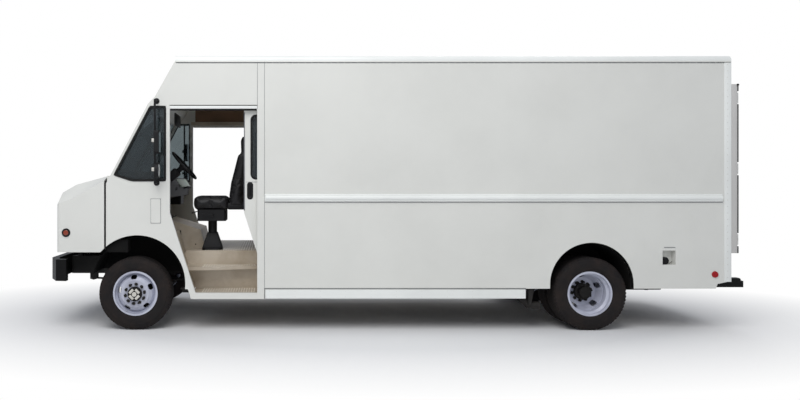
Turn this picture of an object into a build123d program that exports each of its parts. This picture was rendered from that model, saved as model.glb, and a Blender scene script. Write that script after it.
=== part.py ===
from build123d import *
import os
from math import cos, radians, sin, sqrt

os.makedirs("parts", exist_ok=True)

# A walk-in step van, millimetres. +Z is up, the front points to -X and the driver's side to -Y.
# The origin is on the ground, halfway between the two bumpers' ends.

# Lengths along the vehicle
bumper_ahead_of_nose = 122.5
hood_length = 552
hood_seam = 23
cab_length = 1829
cargo_length = 5387
rear_bumper_reach = 173.5
axle_behind_cowl = 323
rear_overhang = 1610
overall_length = (
    bumper_ahead_of_nose + hood_length + hood_seam + cab_length + cargo_length + rear_bumper_reach
)
front_x = -overall_length / 2
nose_x = front_x + bumper_ahead_of_nose
hood_rear_x = nose_x + hood_length
cowl_x = hood_rear_x + hood_seam
cab_rear_x = cowl_x + cab_length
body_rear_x = cab_rear_x + cargo_length
rear_x = body_rear_x + rear_bumper_reach
front_axle_x = cowl_x + axle_behind_cowl
rear_axle_x = body_rear_x - rear_overhang

# Widths and walls
body_width = 2400
wall = 45
half_width = body_width / 2
inner_half = half_width - wall
sheet = 6
overrun = 20
seat_gap = 0.3
running_fit = 0.05

# Heights above the ground
tyre_radius = 423
skirt_z = 491
sill_bottom_z = 372
sill_height = 70
hood_bottom_z = 911
floor_top_z = 888
floor_thickness = 40
belt_z = 1704
roof_seam_z = 3118
roof_height = 64
header_height = 490
rail_top_z = 790
rail_depth = 220
sill_top_z = sill_bottom_z + sill_height
roof_top_z = roof_seam_z + roof_height
header_bottom_z = roof_seam_z - header_height
rail_bottom_z = rail_top_z - rail_depth
floor_bottom_z = floor_top_z - floor_thickness

# Fuel filler's pocket in the left side
filler_ahead_of_rear = 799
filler_x = body_rear_x - filler_ahead_of_rear
filler_width = 162
filler_bottom_z = 762
filler_height = 174
filler_depth = 90
filler_middle = (filler_x + filler_width / 2, filler_bottom_z + filler_height / 2)

sides = (("left", -1), ("right", 1))


def save(piece, name):
    """Label a finished piece and write its STEP file."""
    piece.part.label = name
    export_step(piece.part, f"parts/{name}.step")


def upright(side, near, far):
    """Plane facing sideways, whose extrusion by far - near fills |y| from near to far."""
    return Plane.XZ.offset(near if side < 0 else -far)


def turning_plane(x, side):
    """Plane through a wheel's axis: local x is the radius and local y points outboard."""
    return Plane(origin=(x, 0, tyre_radius), x_dir=(1, 0, 0), z_dir=(0, 0, side))


def wheel_axis(x):
    """Line that the wheels at x turn on."""
    return Axis((x, 0, tyre_radius), (0, 1, 0))


# Hood pivots, low behind the nose
hood_pivot_setback = 71
hood_pivot_above = 19
hood_lug_gap = 18
hood_lug_width = 20
hood_lug_radius = 25
hood_pin_radius = 12
pivot = (nose_x + hood_pivot_setback, hood_bottom_z + hood_pivot_above)

# Ladder frame: two C rails joined by crossmembers, with a post on each rail for the hood's pin
rail_outer_y = 432
hood_lug_y = rail_outer_y + hood_lug_gap
rail_flange = 75
rail_web = 8
crossmember_width = 90
crossmember_depth_share = 0.38
rail_front_behind_front = 83
rail_front_x = front_x + rail_front_behind_front
rail_rear_x = body_rear_x - wall
crossmember_shares = (0.02, 0.3, 0.45, 0.6, 0.7, 0.86, 0.99)
post_width = 50

with BuildPart() as frame:
    for side in (-1, 1):
        with BuildSketch(Plane.YZ.offset(rail_front_x)):
            with BuildLine():
                web_y = side * rail_outer_y
                lip_y = side * (rail_outer_y - rail_flange)
                inner_y = side * (rail_outer_y - rail_web)
                Polyline(
                    (web_y, rail_bottom_z),
                    (web_y, rail_top_z),
                    (lip_y, rail_top_z),
                    (lip_y, rail_top_z - rail_web),
                    (inner_y, rail_top_z - rail_web),
                    (inner_y, rail_bottom_z + rail_web),
                    (lip_y, rail_bottom_z + rail_web),
                    (lip_y, rail_bottom_z),
                    close=True,
                )
            make_face()
        extrude(amount=rail_rear_x - rail_front_x)
    crossmember_depth = rail_depth * crossmember_depth_share
    for share in crossmember_shares:
        x = rail_front_x + crossmember_width + share * (
            rail_rear_x - rail_front_x - 2 * crossmember_width
        )
        with BuildSketch(Plane.XZ.offset(-rail_outer_y + rail_web)):
            with Locations((x, rail_top_z - rail_web - crossmember_depth / 2)):
                Rectangle(crossmember_width, crossmember_depth)
                Rectangle(
                    crossmember_width - 2 * rail_web,
                    crossmember_depth - 2 * rail_web,
                    mode=Mode.SUBTRACT,
                )
        extrude(amount=2 * (rail_outer_y - rail_web))
    for side in (-1, 1):
        near = rail_outer_y - rail_flange / 2
        with BuildSketch(upright(side, near, hood_lug_y - seat_gap)):
            with BuildLine():
                half = post_width / 2
                Polyline(
                    (pivot[0] - half, rail_top_z),
                    (pivot[0] - half, pivot[1] + half / 2),
                    (pivot[0] + half, pivot[1] + half / 2),
                    (pivot[0] + half, rail_top_z),
                    close=True,
                )
            make_face()
        extrude(amount=hood_lug_y - seat_gap - near)
        with BuildSketch(upright(side, near, hood_lug_y + hood_lug_width)):
            with Locations(pivot):
                Circle(hood_pin_radius)
        extrude(amount=hood_lug_y + hood_lug_width - near)
save(frame, "frame")

# Front bumper: one pressed bar whose ends sweep back
bumper_bottom_z = 578
bumper_height = 249
bumper_bar = 83
bumper_sweep = 240
bumper_sweep_start_y = half_width - bumper_sweep
bumper_end_behind_front = 236
bumper_end_x = front_x + bumper_end_behind_front
bumper_turn_behind_front = 113
bumper_turn_x = front_x + bumper_turn_behind_front
bumper_return = 18

with BuildPart() as front_bumper:
    with BuildSketch(Plane.XY.offset(bumper_bottom_z)):
        with BuildLine():
            inner_bar_x = front_x + bumper_bar
            Polyline(
                (inner_bar_x, 0),
                (front_x, 0),
                (front_x, bumper_sweep_start_y),
                (bumper_turn_x, half_width - bumper_return),
                (bumper_end_x, half_width),
                (bumper_end_x, half_width - bumper_bar),
                (bumper_turn_x + bumper_return, half_width - bumper_bar - bumper_return),
                (inner_bar_x, bumper_sweep_start_y - bumper_return),
                close=True,
            )
        make_face()
        mirror(about=Plane.XZ)
    extrude(amount=bumper_height)
    bumper_edges = front_bumper.edges().filter_by(Axis.Z).group_by(Axis.X)[0]
    fillet(bumper_edges, radius=bumper_bar)
save(front_bumper, "front_bumper")

# Rear step bumper: a deep plank with ends wrapped under the body sides, on two hangers
rear_bumper_bottom_z = 500
rear_bumper_height = 74
rear_bumper_ahead = 163
rear_bumper_bar = 150
rear_bumper_gap = 5
rear_bumper_half = inner_half - rear_bumper_gap
hanger_plate = 16

with BuildPart() as rear_bumper:
    with BuildSketch(Plane.XY.offset(rear_bumper_bottom_z)):
        with BuildLine():
            plank_x = rear_x - rear_bumper_bar
            Polyline(
                (plank_x, 0),
                (rear_x, 0),
                (rear_x, rear_bumper_half),
                (body_rear_x - rear_bumper_ahead, rear_bumper_half),
                (body_rear_x - rear_bumper_ahead, rear_bumper_half - rear_bumper_bar / 2),
                (plank_x, rear_bumper_half - rear_bumper_bar / 2),
                close=True,
            )
        make_face()
        mirror(about=Plane.XZ)
    extrude(amount=rear_bumper_height)
    for side in (-1, 1):
        near = rail_outer_y
        with BuildSketch(upright(side, near, near + hanger_plate)):
            with BuildLine():
                Polyline(
                    (plank_x - rear_bumper_bar, rail_top_z - rail_web),
                    (rail_rear_x, rail_top_z - rail_web),
                    (rear_x - rear_bumper_bar / 2, rear_bumper_bottom_z + rear_bumper_height),
                    (rear_x - rear_bumper_bar / 2, rear_bumper_bottom_z),
                    (plank_x, rear_bumper_bottom_z),
                    close=True,
                )
            make_face()
        extrude(amount=hanger_plate)
save(rear_bumper, "rear_bumper")

# Wheels: pressed steel disc wheels with hand holes, single in front and twin behind
rim_half_width = 104
rim_flange_radius = 260
rim_seat_radius = 248
rim_well_radius = 225
rim_metal = 8
rim_seat_width = 34
rim_slope = 22
tyre_half_width = 124
tyre_bulge_share = 0.5
tread_half_width = 88
shoulder_drop = 16
shoulder_inset = 18
front_wheel_inset = 180
dual_inset = 285
front_track_half = half_width - front_wheel_inset
dual_centre_y = half_width - dual_inset
dual_spacing = 275
disc_metal = 12
pilot_radius = 84
bolt_face_radius = 145
hand_hole_count = 5
hand_hole_ring = 188
hand_hole_width = 44
hand_hole_length = 74
bolt_hole_radius = 13
bolt_count = 10
bolt_circle_radius = 112.5
hand_hole_turn = 96
bolt_turn = 6
stud_radius = 11
stud_reach = 36


def rim_outline(centre_y):
    """Half section of a rim about its own middle plane, as radius and outboard distance."""
    flange_y = rim_half_width - rim_metal
    seat_y = flange_y - rim_seat_width
    well_y = seat_y - rim_slope
    outer = [
        (rim_flange_radius, rim_half_width),
        (rim_flange_radius, flange_y),
        (rim_seat_radius, flange_y),
        (rim_seat_radius, seat_y),
        (rim_well_radius, well_y),
    ]
    inner = [
        (rim_well_radius - rim_metal, well_y),
        (rim_seat_radius - rim_metal, seat_y),
        (rim_seat_radius - rim_metal, rim_half_width),
    ]
    outline = outer + [(r, -y) for r, y in reversed(outer)]
    outline += [(r, -y) for r, y in reversed(inner)] + inner
    return [(r, centre_y + y) for r, y in outline]


def tyre_section(centre_y):
    """Half section of a tyre: tread, rounded shoulders and bulged sidewalls."""
    bead_radius = rim_seat_radius + seat_gap
    bead_y = rim_half_width - rim_metal - seat_gap
    clear_radius = rim_flange_radius + seat_gap
    shoulder_radius = tyre_radius - shoulder_drop
    bulge_radius = clear_radius + tyre_bulge_share * (tyre_radius - clear_radius)
    shoulder_y = tread_half_width + shoulder_inset
    with BuildSketch() as section:
        with BuildLine():
            for turn in (-1, 1):
                bead = (bead_radius, centre_y + turn * bead_y)
                clear = (clear_radius, centre_y + turn * bead_y)
                bulge = (bulge_radius, centre_y + turn * tyre_half_width)
                shoulder = (shoulder_radius, centre_y + turn * shoulder_y)
                tread = (tyre_radius, centre_y + turn * tread_half_width)
                Polyline((bead_radius, centre_y), bead, clear)
                Polyline(clear, bulge, shoulder, tread, (tyre_radius, centre_y))
        make_face()
    return section.sketch


# Front disc: crowned, its bolt face just outside the rim's flange
bolt_face_offset = 120
front_face_y = front_track_half + bolt_face_offset
disc_foot_offset = 12
disc_foot_y = front_track_half + disc_foot_offset
disc_shoulder_radius = 178
disc_shoulder_offset = 92
disc_shoulder_y = front_track_half + disc_shoulder_offset

for name, side in sides:
    with BuildPart() as wheel_front:
        with BuildSketch(turning_plane(front_axle_x, side)):
            with BuildLine():
                Polyline(*rim_outline(front_track_half), close=True)
            make_face()
            with BuildLine():
                foot_radius = rim_well_radius - rim_metal / 2
                Polyline(
                    (foot_radius, disc_foot_y),
                    (foot_radius, disc_foot_y + disc_metal),
                    (disc_shoulder_radius + disc_metal, disc_shoulder_y),
                    (bolt_face_radius + disc_metal, front_face_y),
                    (pilot_radius, front_face_y),
                    (pilot_radius, front_face_y - disc_metal),
                    (bolt_face_radius, front_face_y - disc_metal),
                    (disc_shoulder_radius, disc_shoulder_y - disc_metal),
                    (foot_radius - disc_metal, disc_foot_y),
                    close=True,
                )
            make_face()
        revolve(axis=wheel_axis(front_axle_x))
        with BuildSketch(upright(side, disc_foot_y, front_face_y + overrun)):
            with Locations((front_axle_x, tyre_radius)):
                with PolarLocations(hand_hole_ring, hand_hole_count, start_angle=hand_hole_turn):
                    SlotOverall(hand_hole_length, hand_hole_width, rotation=90)
                with PolarLocations(bolt_circle_radius, bolt_count, start_angle=bolt_turn):
                    Circle(bolt_hole_radius)
        extrude(amount=front_face_y + overrun - disc_foot_y, mode=Mode.SUBTRACT)
    save(wheel_front, f"wheel_front_{name}")

    with BuildPart() as tyre_front:
        with BuildSketch(turning_plane(front_axle_x, side)):
            add(tyre_section(front_track_half))
        revolve(axis=wheel_axis(front_axle_x))
    save(tyre_front, f"tyre_front_{name}")

# Rear twin wheels: two dished discs back to back at the middle of the pair
dual_dish_radius = 170
dual_foot_y = 34
dual_outer_y = dual_centre_y + dual_spacing / 2
dual_inner_y = dual_centre_y - dual_spacing / 2

for name, side in sides:
    with BuildPart() as wheels_rear:
        for turn, middle_y in ((1, dual_outer_y), (-1, dual_inner_y)):
            with BuildSketch(turning_plane(rear_axle_x, side)):
                with BuildLine():
                    Polyline(*rim_outline(middle_y), close=True)
                make_face()
                with BuildLine():
                    foot_radius = rim_well_radius - rim_metal / 2
                    foot_y = middle_y - turn * dual_foot_y
                    Polyline(
                        (foot_radius, foot_y),
                        (foot_radius, foot_y - turn * disc_metal),
                        (dual_dish_radius + disc_metal, dual_centre_y),
                        (pilot_radius, dual_centre_y),
                        (pilot_radius, dual_centre_y + turn * disc_metal),
                        (dual_dish_radius, dual_centre_y + turn * disc_metal),
                        (foot_radius - disc_metal, foot_y),
                        close=True,
                    )
                make_face()
            revolve(axis=wheel_axis(rear_axle_x))
        with BuildSketch(upright(side, dual_inner_y, dual_outer_y)):
            with Locations((rear_axle_x, tyre_radius)):
                with PolarLocations(hand_hole_ring, hand_hole_count, start_angle=hand_hole_turn):
                    SlotOverall(hand_hole_length, hand_hole_width, rotation=90)
                with PolarLocations(bolt_circle_radius, bolt_count, start_angle=bolt_turn):
                    Circle(bolt_hole_radius)
        extrude(amount=dual_spacing, mode=Mode.SUBTRACT)
    save(wheels_rear, f"wheels_rear_{name}")

    with BuildPart() as tyres_rear:
        for middle_y in (dual_outer_y, dual_inner_y):
            with BuildSketch(turning_plane(rear_axle_x, side)):
                add(tyre_section(middle_y))
            revolve(axis=wheel_axis(rear_axle_x))
    save(tyres_rear, f"tyres_rear_{name}")

# Front hubs and drums, running on the knuckles' spindles
spindle_radius = 30
spindle_length = 120
drum_radius = 165
drum_metal = 14
drum_open_y = front_track_half - 60
drum_web_y = front_track_half + 68
hub_radius = 72
hub_cap_radius = 51
hub_cap_height = 45
pilot_height = 22
pilot_clearance = 0.3

for name, side in sides:
    with BuildPart() as hub_front:
        with BuildSketch(turning_plane(front_axle_x, side)):
            flange_y = front_face_y - disc_metal
            bore = spindle_radius + running_fit
            spindle_tip_y = drum_open_y + spindle_length
            with BuildLine():
                Polyline(
                    (bore, drum_open_y),
                    (hub_radius, drum_open_y),
                    (hub_radius, drum_web_y),
                    (drum_radius - drum_metal, drum_web_y),
                    (drum_radius - drum_metal, drum_open_y),
                    (drum_radius, drum_open_y),
                    (drum_radius, drum_web_y + drum_metal),
                    (bolt_face_radius, drum_web_y + drum_metal),
                    (bolt_face_radius, flange_y),
                    (pilot_radius - pilot_clearance, flange_y),
                    (pilot_radius - pilot_clearance, front_face_y + pilot_height),
                    (hub_cap_radius, front_face_y + pilot_height),
                    (hub_cap_radius, front_face_y + hub_cap_height),
                    (0, front_face_y + hub_cap_height),
                    (0, spindle_tip_y + disc_metal),
                    (bore, spindle_tip_y + disc_metal),
                    close=True,
                )
            make_face()
        revolve(axis=wheel_axis(front_axle_x))
        with BuildSketch(upright(side, flange_y, front_face_y + stud_reach)):
            with Locations((front_axle_x, tyre_radius)):
                with PolarLocations(bolt_circle_radius, bolt_count, start_angle=bolt_turn):
                    Circle(stud_radius)
        extrude(amount=front_face_y + stud_reach - flange_y)
    save(hub_front, f"hub_front_{name}")

# Rear hubs: the drum behind the inner disc, the shaft flange deep in the outer dish
axle_spindle_radius = 42
rear_drum_radius = 165
rear_drum_depth = 150
shaft_flange_radius = 97
shaft_flange_height = 60
shaft_cap_radius = 62
shaft_cap_height = 100
rear_web_y = dual_centre_y - disc_metal

for name, side in sides:
    with BuildPart() as hub_rear:
        with BuildSketch(turning_plane(rear_axle_x, side)):
            bore = axle_spindle_radius + running_fit
            face_y = dual_centre_y + disc_metal
            with BuildLine():
                Polyline(
                    (bore, rear_web_y - rear_drum_depth),
                    (hub_radius, rear_web_y - rear_drum_depth),
                    (hub_radius, rear_web_y - drum_metal),
                    (rear_drum_radius - drum_metal, rear_web_y - 2 * drum_metal),
                    (rear_drum_radius - drum_metal, rear_web_y - rear_drum_depth),
                    (rear_drum_radius, rear_web_y - rear_drum_depth),
                    (rear_drum_radius, rear_web_y - 2 * drum_metal),
                    (bolt_face_radius, rear_web_y),
                    (pilot_radius - pilot_clearance, rear_web_y),
                    (pilot_radius - pilot_clearance, face_y + drum_metal),
                    (shaft_flange_radius, face_y + drum_metal),
                    (shaft_flange_radius, face_y + shaft_flange_height),
                    (shaft_cap_radius, face_y + shaft_flange_height),
                    (shaft_cap_radius, face_y + shaft_cap_height),
                    (0, face_y + shaft_cap_height),
                    (0, face_y),
                    (bore, face_y),
                    close=True,
                )
            make_face()
        revolve(axis=wheel_axis(rear_axle_x))
        with BuildSketch(upright(side, rear_web_y, face_y + stud_reach)):
            with Locations((rear_axle_x, tyre_radius)):
                with PolarLocations(bolt_circle_radius, bolt_count, start_angle=bolt_turn):
                    Circle(stud_radius)
        extrude(amount=face_y + stud_reach - rear_web_y)
    save(hub_rear, f"hub_rear_{name}")

# Front axle: an I-beam with an upright kingpin eye at each end
kingpin_inset = 140
kingpin_y = front_track_half - kingpin_inset
kingpin_radius = 20
eye_radius = 42
eye_half_height = 84
beam_width = 75
beam_height = 90
beam_web = 20
beam_drop = 30
beam_centre_z = tyre_radius - beam_drop

with BuildPart() as front_axle:
    beam_half = kingpin_y - eye_radius / 2
    with BuildSketch(Plane.XZ.offset(-beam_half)):
        with Locations((front_axle_x, beam_centre_z)):
            Rectangle(beam_width, beam_height)
            for turn in (-1, 1):
                with Locations((turn * (beam_width + beam_web) / 4 + turn * beam_web / 4, 0)):
                    Rectangle(
                        (beam_width - beam_web) / 2,
                        beam_height - 2 * beam_web,
                        mode=Mode.SUBTRACT,
                    )
    extrude(amount=2 * beam_half)
    for side in (-1, 1):
        with BuildSketch(Plane.XY.offset(tyre_radius - eye_half_height)):
            with Locations((front_axle_x, side * kingpin_y)):
                Circle(eye_radius)
        extrude(amount=2 * eye_half_height)
        with BuildSketch(Plane.XY.offset(beam_centre_z - beam_height)):
            with Locations((front_axle_x, side * kingpin_y)):
                Circle(kingpin_radius + running_fit)
        extrude(amount=2 * eye_half_height + beam_height, mode=Mode.SUBTRACT)
save(front_axle, "front_axle")

# Steering knuckles: a yoke on the kingpin, a back plate, a spindle and an arm for the tie rod
yoke_gap = 0.5
yoke_thickness = 30
yoke_radius = 45
yoke_web = 25
arm_reach = 200
arm_width = 50
tie_pin_radius = 12
back_plate = 7
drum_gap = 3

for name, side in sides:
    with BuildPart() as knuckle:
        web_y = drum_open_y - drum_gap - back_plate - yoke_web
        pin_bottom_z = tyre_radius - eye_half_height - yoke_gap - yoke_thickness
        pin_top_z = tyre_radius + eye_half_height + yoke_gap + yoke_thickness
        for foot_z in (pin_bottom_z, pin_top_z - yoke_thickness):
            with BuildSketch(Plane.XY.offset(foot_z)):
                with Locations((front_axle_x, side * kingpin_y)):
                    Circle(yoke_radius)
                with Locations((front_axle_x, side * (kingpin_y + web_y + yoke_web) / 2)):
                    Rectangle(2 * yoke_radius, web_y + yoke_web - kingpin_y)
            extrude(amount=yoke_thickness)
        with BuildSketch(Plane.XY.offset(pin_bottom_z)):
            with Locations((front_axle_x, side * kingpin_y)):
                Circle(kingpin_radius)
            with Locations((front_axle_x, side * (web_y + yoke_web / 2))):
                Rectangle(2 * yoke_radius, yoke_web)
        extrude(amount=pin_top_z - pin_bottom_z)
        with BuildSketch(upright(side, web_y + yoke_web, web_y + yoke_web + back_plate)):
            with Locations((front_axle_x, tyre_radius)):
                Circle(drum_radius)
        extrude(amount=back_plate)
        with BuildSketch(upright(side, web_y, drum_open_y + spindle_length)):
            with Locations((front_axle_x, tyre_radius)):
                Circle(spindle_radius)
        extrude(amount=drum_open_y + spindle_length - web_y)
        with BuildSketch(Plane.XY.offset(pin_bottom_z)):
            with BuildLine():
                Line(
                    (front_axle_x, side * kingpin_y),
                    (front_axle_x + arm_reach, side * kingpin_y),
                )
            trace(line_width=arm_width)
            with Locations((front_axle_x + arm_reach, side * kingpin_y)):
                Circle(arm_width / 2)
                Circle(tie_pin_radius + running_fit, mode=Mode.SUBTRACT)
        extrude(amount=yoke_thickness)
    save(knuckle, f"knuckle_{name}")

# Tie rod under the two arms, with a ball pin up through each
tie_rod_radius = 16
tie_boss_radius = 22
tie_boss_height = 34
tie_gap = 0.5

with BuildPart() as tie_rod:
    tie_x = front_axle_x + arm_reach
    tie_y = kingpin_y
    boss_top_z = pin_bottom_z - tie_gap
    with BuildSketch(Plane.XZ.offset(-tie_y)):
        with Locations((tie_x, boss_top_z - tie_boss_height / 2)):
            Circle(tie_rod_radius)
    extrude(amount=2 * tie_y)
    for side in (-1, 1):
        with BuildSketch(Plane.XY.offset(boss_top_z - tie_boss_height)):
            with Locations((tie_x, side * tie_y)):
                Circle(tie_boss_radius)
        extrude(amount=tie_boss_height)
        with BuildSketch(Plane.XY.offset(boss_top_z)):
            with Locations((tie_x, side * tie_y)):
                Circle(tie_pin_radius)
        extrude(amount=yoke_thickness)
save(tie_rod, "tie_rod")

# Rear axle: a banjo housing with round tubes out to the hubs
banjo_radius = 190
banjo_width = 170
axle_tube_radius = 60
axle_cover = 60
shock_drop = 70
front_shock_y = rail_outer_y + shock_drop / 2
rear_shock_y = rail_outer_y - rail_flange - shock_drop
shock_pad = 56
shock_pad_rise = 5
shock_pad_z = tyre_radius + axle_tube_radius + shock_pad_rise

with BuildPart() as rear_axle:
    tube_y = rear_web_y - rear_drum_depth - drum_gap
    with BuildSketch(Plane.XZ.offset(-tube_y)):
        with Locations((rear_axle_x, tyre_radius)):
            Circle(axle_tube_radius)
    extrude(amount=2 * tube_y)
    with BuildSketch(Plane.XZ.offset(-dual_centre_y)):
        with Locations((rear_axle_x, tyre_radius)):
            Circle(axle_spindle_radius)
    extrude(amount=2 * dual_centre_y)
    with BuildSketch(Plane.XY.offset(tyre_radius)):
        for side in (-1, 1):
            with Locations((rear_axle_x, side * rear_shock_y)):
                Rectangle(shock_pad, shock_pad)
    extrude(amount=shock_pad_z - tyre_radius)
    banjo_plane = Plane(origin=(rear_axle_x, 0, tyre_radius), x_dir=(1, 0, 0), z_dir=(0, -1, 0))
    with BuildSketch(banjo_plane):
        with BuildLine():
            half = banjo_width / 2
            Polyline(
                (half + axle_cover, 0),
                (half + axle_cover / 2, banjo_radius / 2),
                (half, banjo_radius),
                (-half, banjo_radius),
                (-half - axle_cover, banjo_radius / 3),
                (-half - 2 * axle_cover, banjo_radius / 3),
                (-half - 2 * axle_cover, 0),
                close=True,
            )
        make_face()
    revolve(axis=Axis((rear_axle_x, 0, tyre_radius), (1, 0, 0)))
save(rear_axle, "rear_axle")

# Leaf springs: curved leaves, shorter towards the axle, hung from the rails by brackets
spring_width = 76
spring_y = rail_outer_y - spring_width / 2
front_spring_half = 620
rear_spring_half = 660
leaf_count = 4
leaf_thickness = 13
leaf_shrink = 0.2
spring_rise_share = 0.035
hanger_length = 90
spring_pad_gap = 0.3


def leaf_pack(x, base_z, half_length):
    """Stacked curved leaves, the longest on top."""
    with BuildSketch() as pack:
        for leaf in range(leaf_count):
            share = 1 - leaf_shrink * (leaf_count - 1 - leaf)
            reach = half_length * share
            low_z = base_z + leaf * leaf_thickness
            tip_z = low_z + half_length * spring_rise_share * share * share
            with BuildLine():
                lower = ThreePointArc((x - reach, tip_z), (x, low_z), (x + reach, tip_z))
                offset(lower, amount=leaf_thickness, side=Side.LEFT)
            make_face()
    return pack.sketch


with BuildPart() as leaf_springs:
    spring_table = (
        # axle x, top of the axle's pad, half length
        (front_axle_x, beam_centre_z + beam_height / 2, front_spring_half),
        (rear_axle_x, tyre_radius + axle_tube_radius, rear_spring_half),
    )
    for axle_x, pad_z, half_length in spring_table:
        for side in (-1, 1):
            near = spring_y - spring_width / 2
            with BuildSketch(upright(side, near, near + spring_width)):
                add(leaf_pack(axle_x, pad_z + spring_pad_gap, half_length))
            extrude(amount=spring_width)
            eye_z = pad_z + half_length * spring_rise_share + leaf_count * leaf_thickness
            for turn in (-1, 1):
                eye_x = axle_x + turn * (half_length + hanger_length / 2)
                with BuildSketch(upright(side, near, near + spring_width)):
                    with BuildLine():
                        hanger_half = hanger_length / 2
                        Polyline(
                            (eye_x - hanger_half, rail_bottom_z),
                            (eye_x + hanger_half, rail_bottom_z),
                            (eye_x + hanger_half, eye_z - leaf_thickness),
                            (eye_x, eye_z - 2 * leaf_thickness),
                            (eye_x - hanger_half, eye_z - leaf_thickness),
                            close=True,
                        )
                    make_face()
                extrude(amount=spring_width)
save(leaf_springs, "leaf_springs")

# Shock absorbers: a tube and a thicker sleeve, leaning from the axle up to each rail's side
shock_radius = 24
shock_sleeve_radius = 32
shock_lean = 260
shock_foot = 44
shock_foot_height = 30
shock_sleeve_share = 0.55

with BuildPart() as shock_absorbers:
    shock_table = (
        # axle x, middle y, pad top, lean along x
        (front_axle_x, front_shock_y, beam_centre_z + beam_height / 2, -shock_lean),
        (rear_axle_x, rear_shock_y, shock_pad_z, shock_lean),
    )
    for axle_x, shock_y, pad_z, lean in shock_table:
        for side in (-1, 1):
            foot = Vector(axle_x, side * shock_y, pad_z + shock_foot_height)
            top = Vector(axle_x + lean, side * shock_y, rail_top_z - shock_drop)
            line = top - foot
            with BuildSketch(Plane.XY.offset(pad_z)):
                with Locations((axle_x, side * shock_y)):
                    Rectangle(shock_foot, shock_foot)
            extrude(amount=shock_foot_height)
            with BuildSketch(Plane(origin=foot, z_dir=line)):
                Circle(shock_radius)
            extrude(amount=line.length)
            with BuildSketch(Plane(origin=foot + line * (1 - shock_sleeve_share), z_dir=line)):
                Circle(shock_sleeve_radius)
            extrude(amount=line.length * shock_sleeve_share)
            near = min(rail_outer_y, shock_y)
            far = max(rail_outer_y - rail_web, shock_y)
            with BuildSketch(upright(side, near, far)):
                with Locations((top.X, top.Z)):
                    Circle(shock_sleeve_radius)
            extrude(amount=far - near)
save(shock_absorbers, "shock_absorbers")

# Driveshaft from the gearbox down to the rear axle's nose
gearbox_length = 500
gearbox_radius = 150
engine_front = 305
engine_length = 900
engine_half_width = 270
engine_bottom_z = 590
engine_top_z = 1150
gearbox_z = 680
shaft_radius = 50
joint_radius = 62
joint_length = 70
engine_x = cowl_x - engine_front
gearbox_rear_x = engine_x + engine_length + gearbox_length
shaft_start = Vector(gearbox_rear_x, 0, gearbox_z)
shaft_end = Vector(rear_axle_x - banjo_width / 2 - 2 * axle_cover, 0, tyre_radius)
shaft_line = shaft_end - shaft_start

with BuildPart() as driveshaft:
    with BuildSketch(Plane(origin=shaft_start, z_dir=shaft_line)):
        Circle(shaft_radius)
    extrude(amount=shaft_line.length)
    for centre in (shaft_start, shaft_end - shaft_line.normalized() * joint_length):
        with BuildSketch(Plane(origin=centre, z_dir=shaft_line)):
            Circle(joint_radius)
        extrude(amount=joint_length)
    split(bisect_by=Plane.YZ.offset(gearbox_rear_x), keep=Keep.TOP)
    split(bisect_by=Plane.YZ.offset(shaft_end.X), keep=Keep.BOTTOM)
save(driveshaft, "driveshaft")

# Engine and gearbox as plain masses at their real place, with the radiator ahead of them
radiator_thickness = 60
radiator_half_width = 370
radiator_bottom_z = 790
radiator_top_z = 1420
radiator_setback = 91

with BuildPart() as engine:
    with BuildSketch(Plane.XY.offset(engine_bottom_z)):
        with Locations((engine_x + engine_length / 2, 0)):
            Rectangle(engine_length, 2 * engine_half_width)
    extrude(amount=engine_top_z - engine_bottom_z)
    fillet(engine.edges().filter_by(Axis.X), radius=engine_half_width / 3)
    with BuildSketch(Plane.YZ.offset(engine_x + engine_length)):
        with Locations((0, gearbox_z)):
            Circle(gearbox_radius)
    extrude(amount=gearbox_length, taper=4)
    with BuildSketch(Plane.XY.offset(radiator_bottom_z)):
        with Locations((nose_x + radiator_setback + radiator_thickness / 2, 0)):
            Rectangle(radiator_thickness, 2 * radiator_half_width)
    extrude(amount=radiator_top_z - radiator_bottom_z)
save(engine, "engine")

# Exhaust: a pipe outside the left rail, a silencer, and a tail bent down ahead of the rear wheel
pipe_radius = 38
pipe_y = 640
pipe_z = 452
silencer_radius = 105
silencer_length = 900
silencer_ahead_of_axle = 1960
pipe_front_inset_y = 150
tail_bend = 110
tail_radius = 44
tail_corner = 60
tail_inset = 50
tail_y = inner_half - tail_inset
tail_dip_z = 385
tail_outlet_z = 285
tail_outlet_ahead = 575
pipe_hanger_z = 690
strap_width = 30
strap_shares = (0.2, 0.8)

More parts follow.
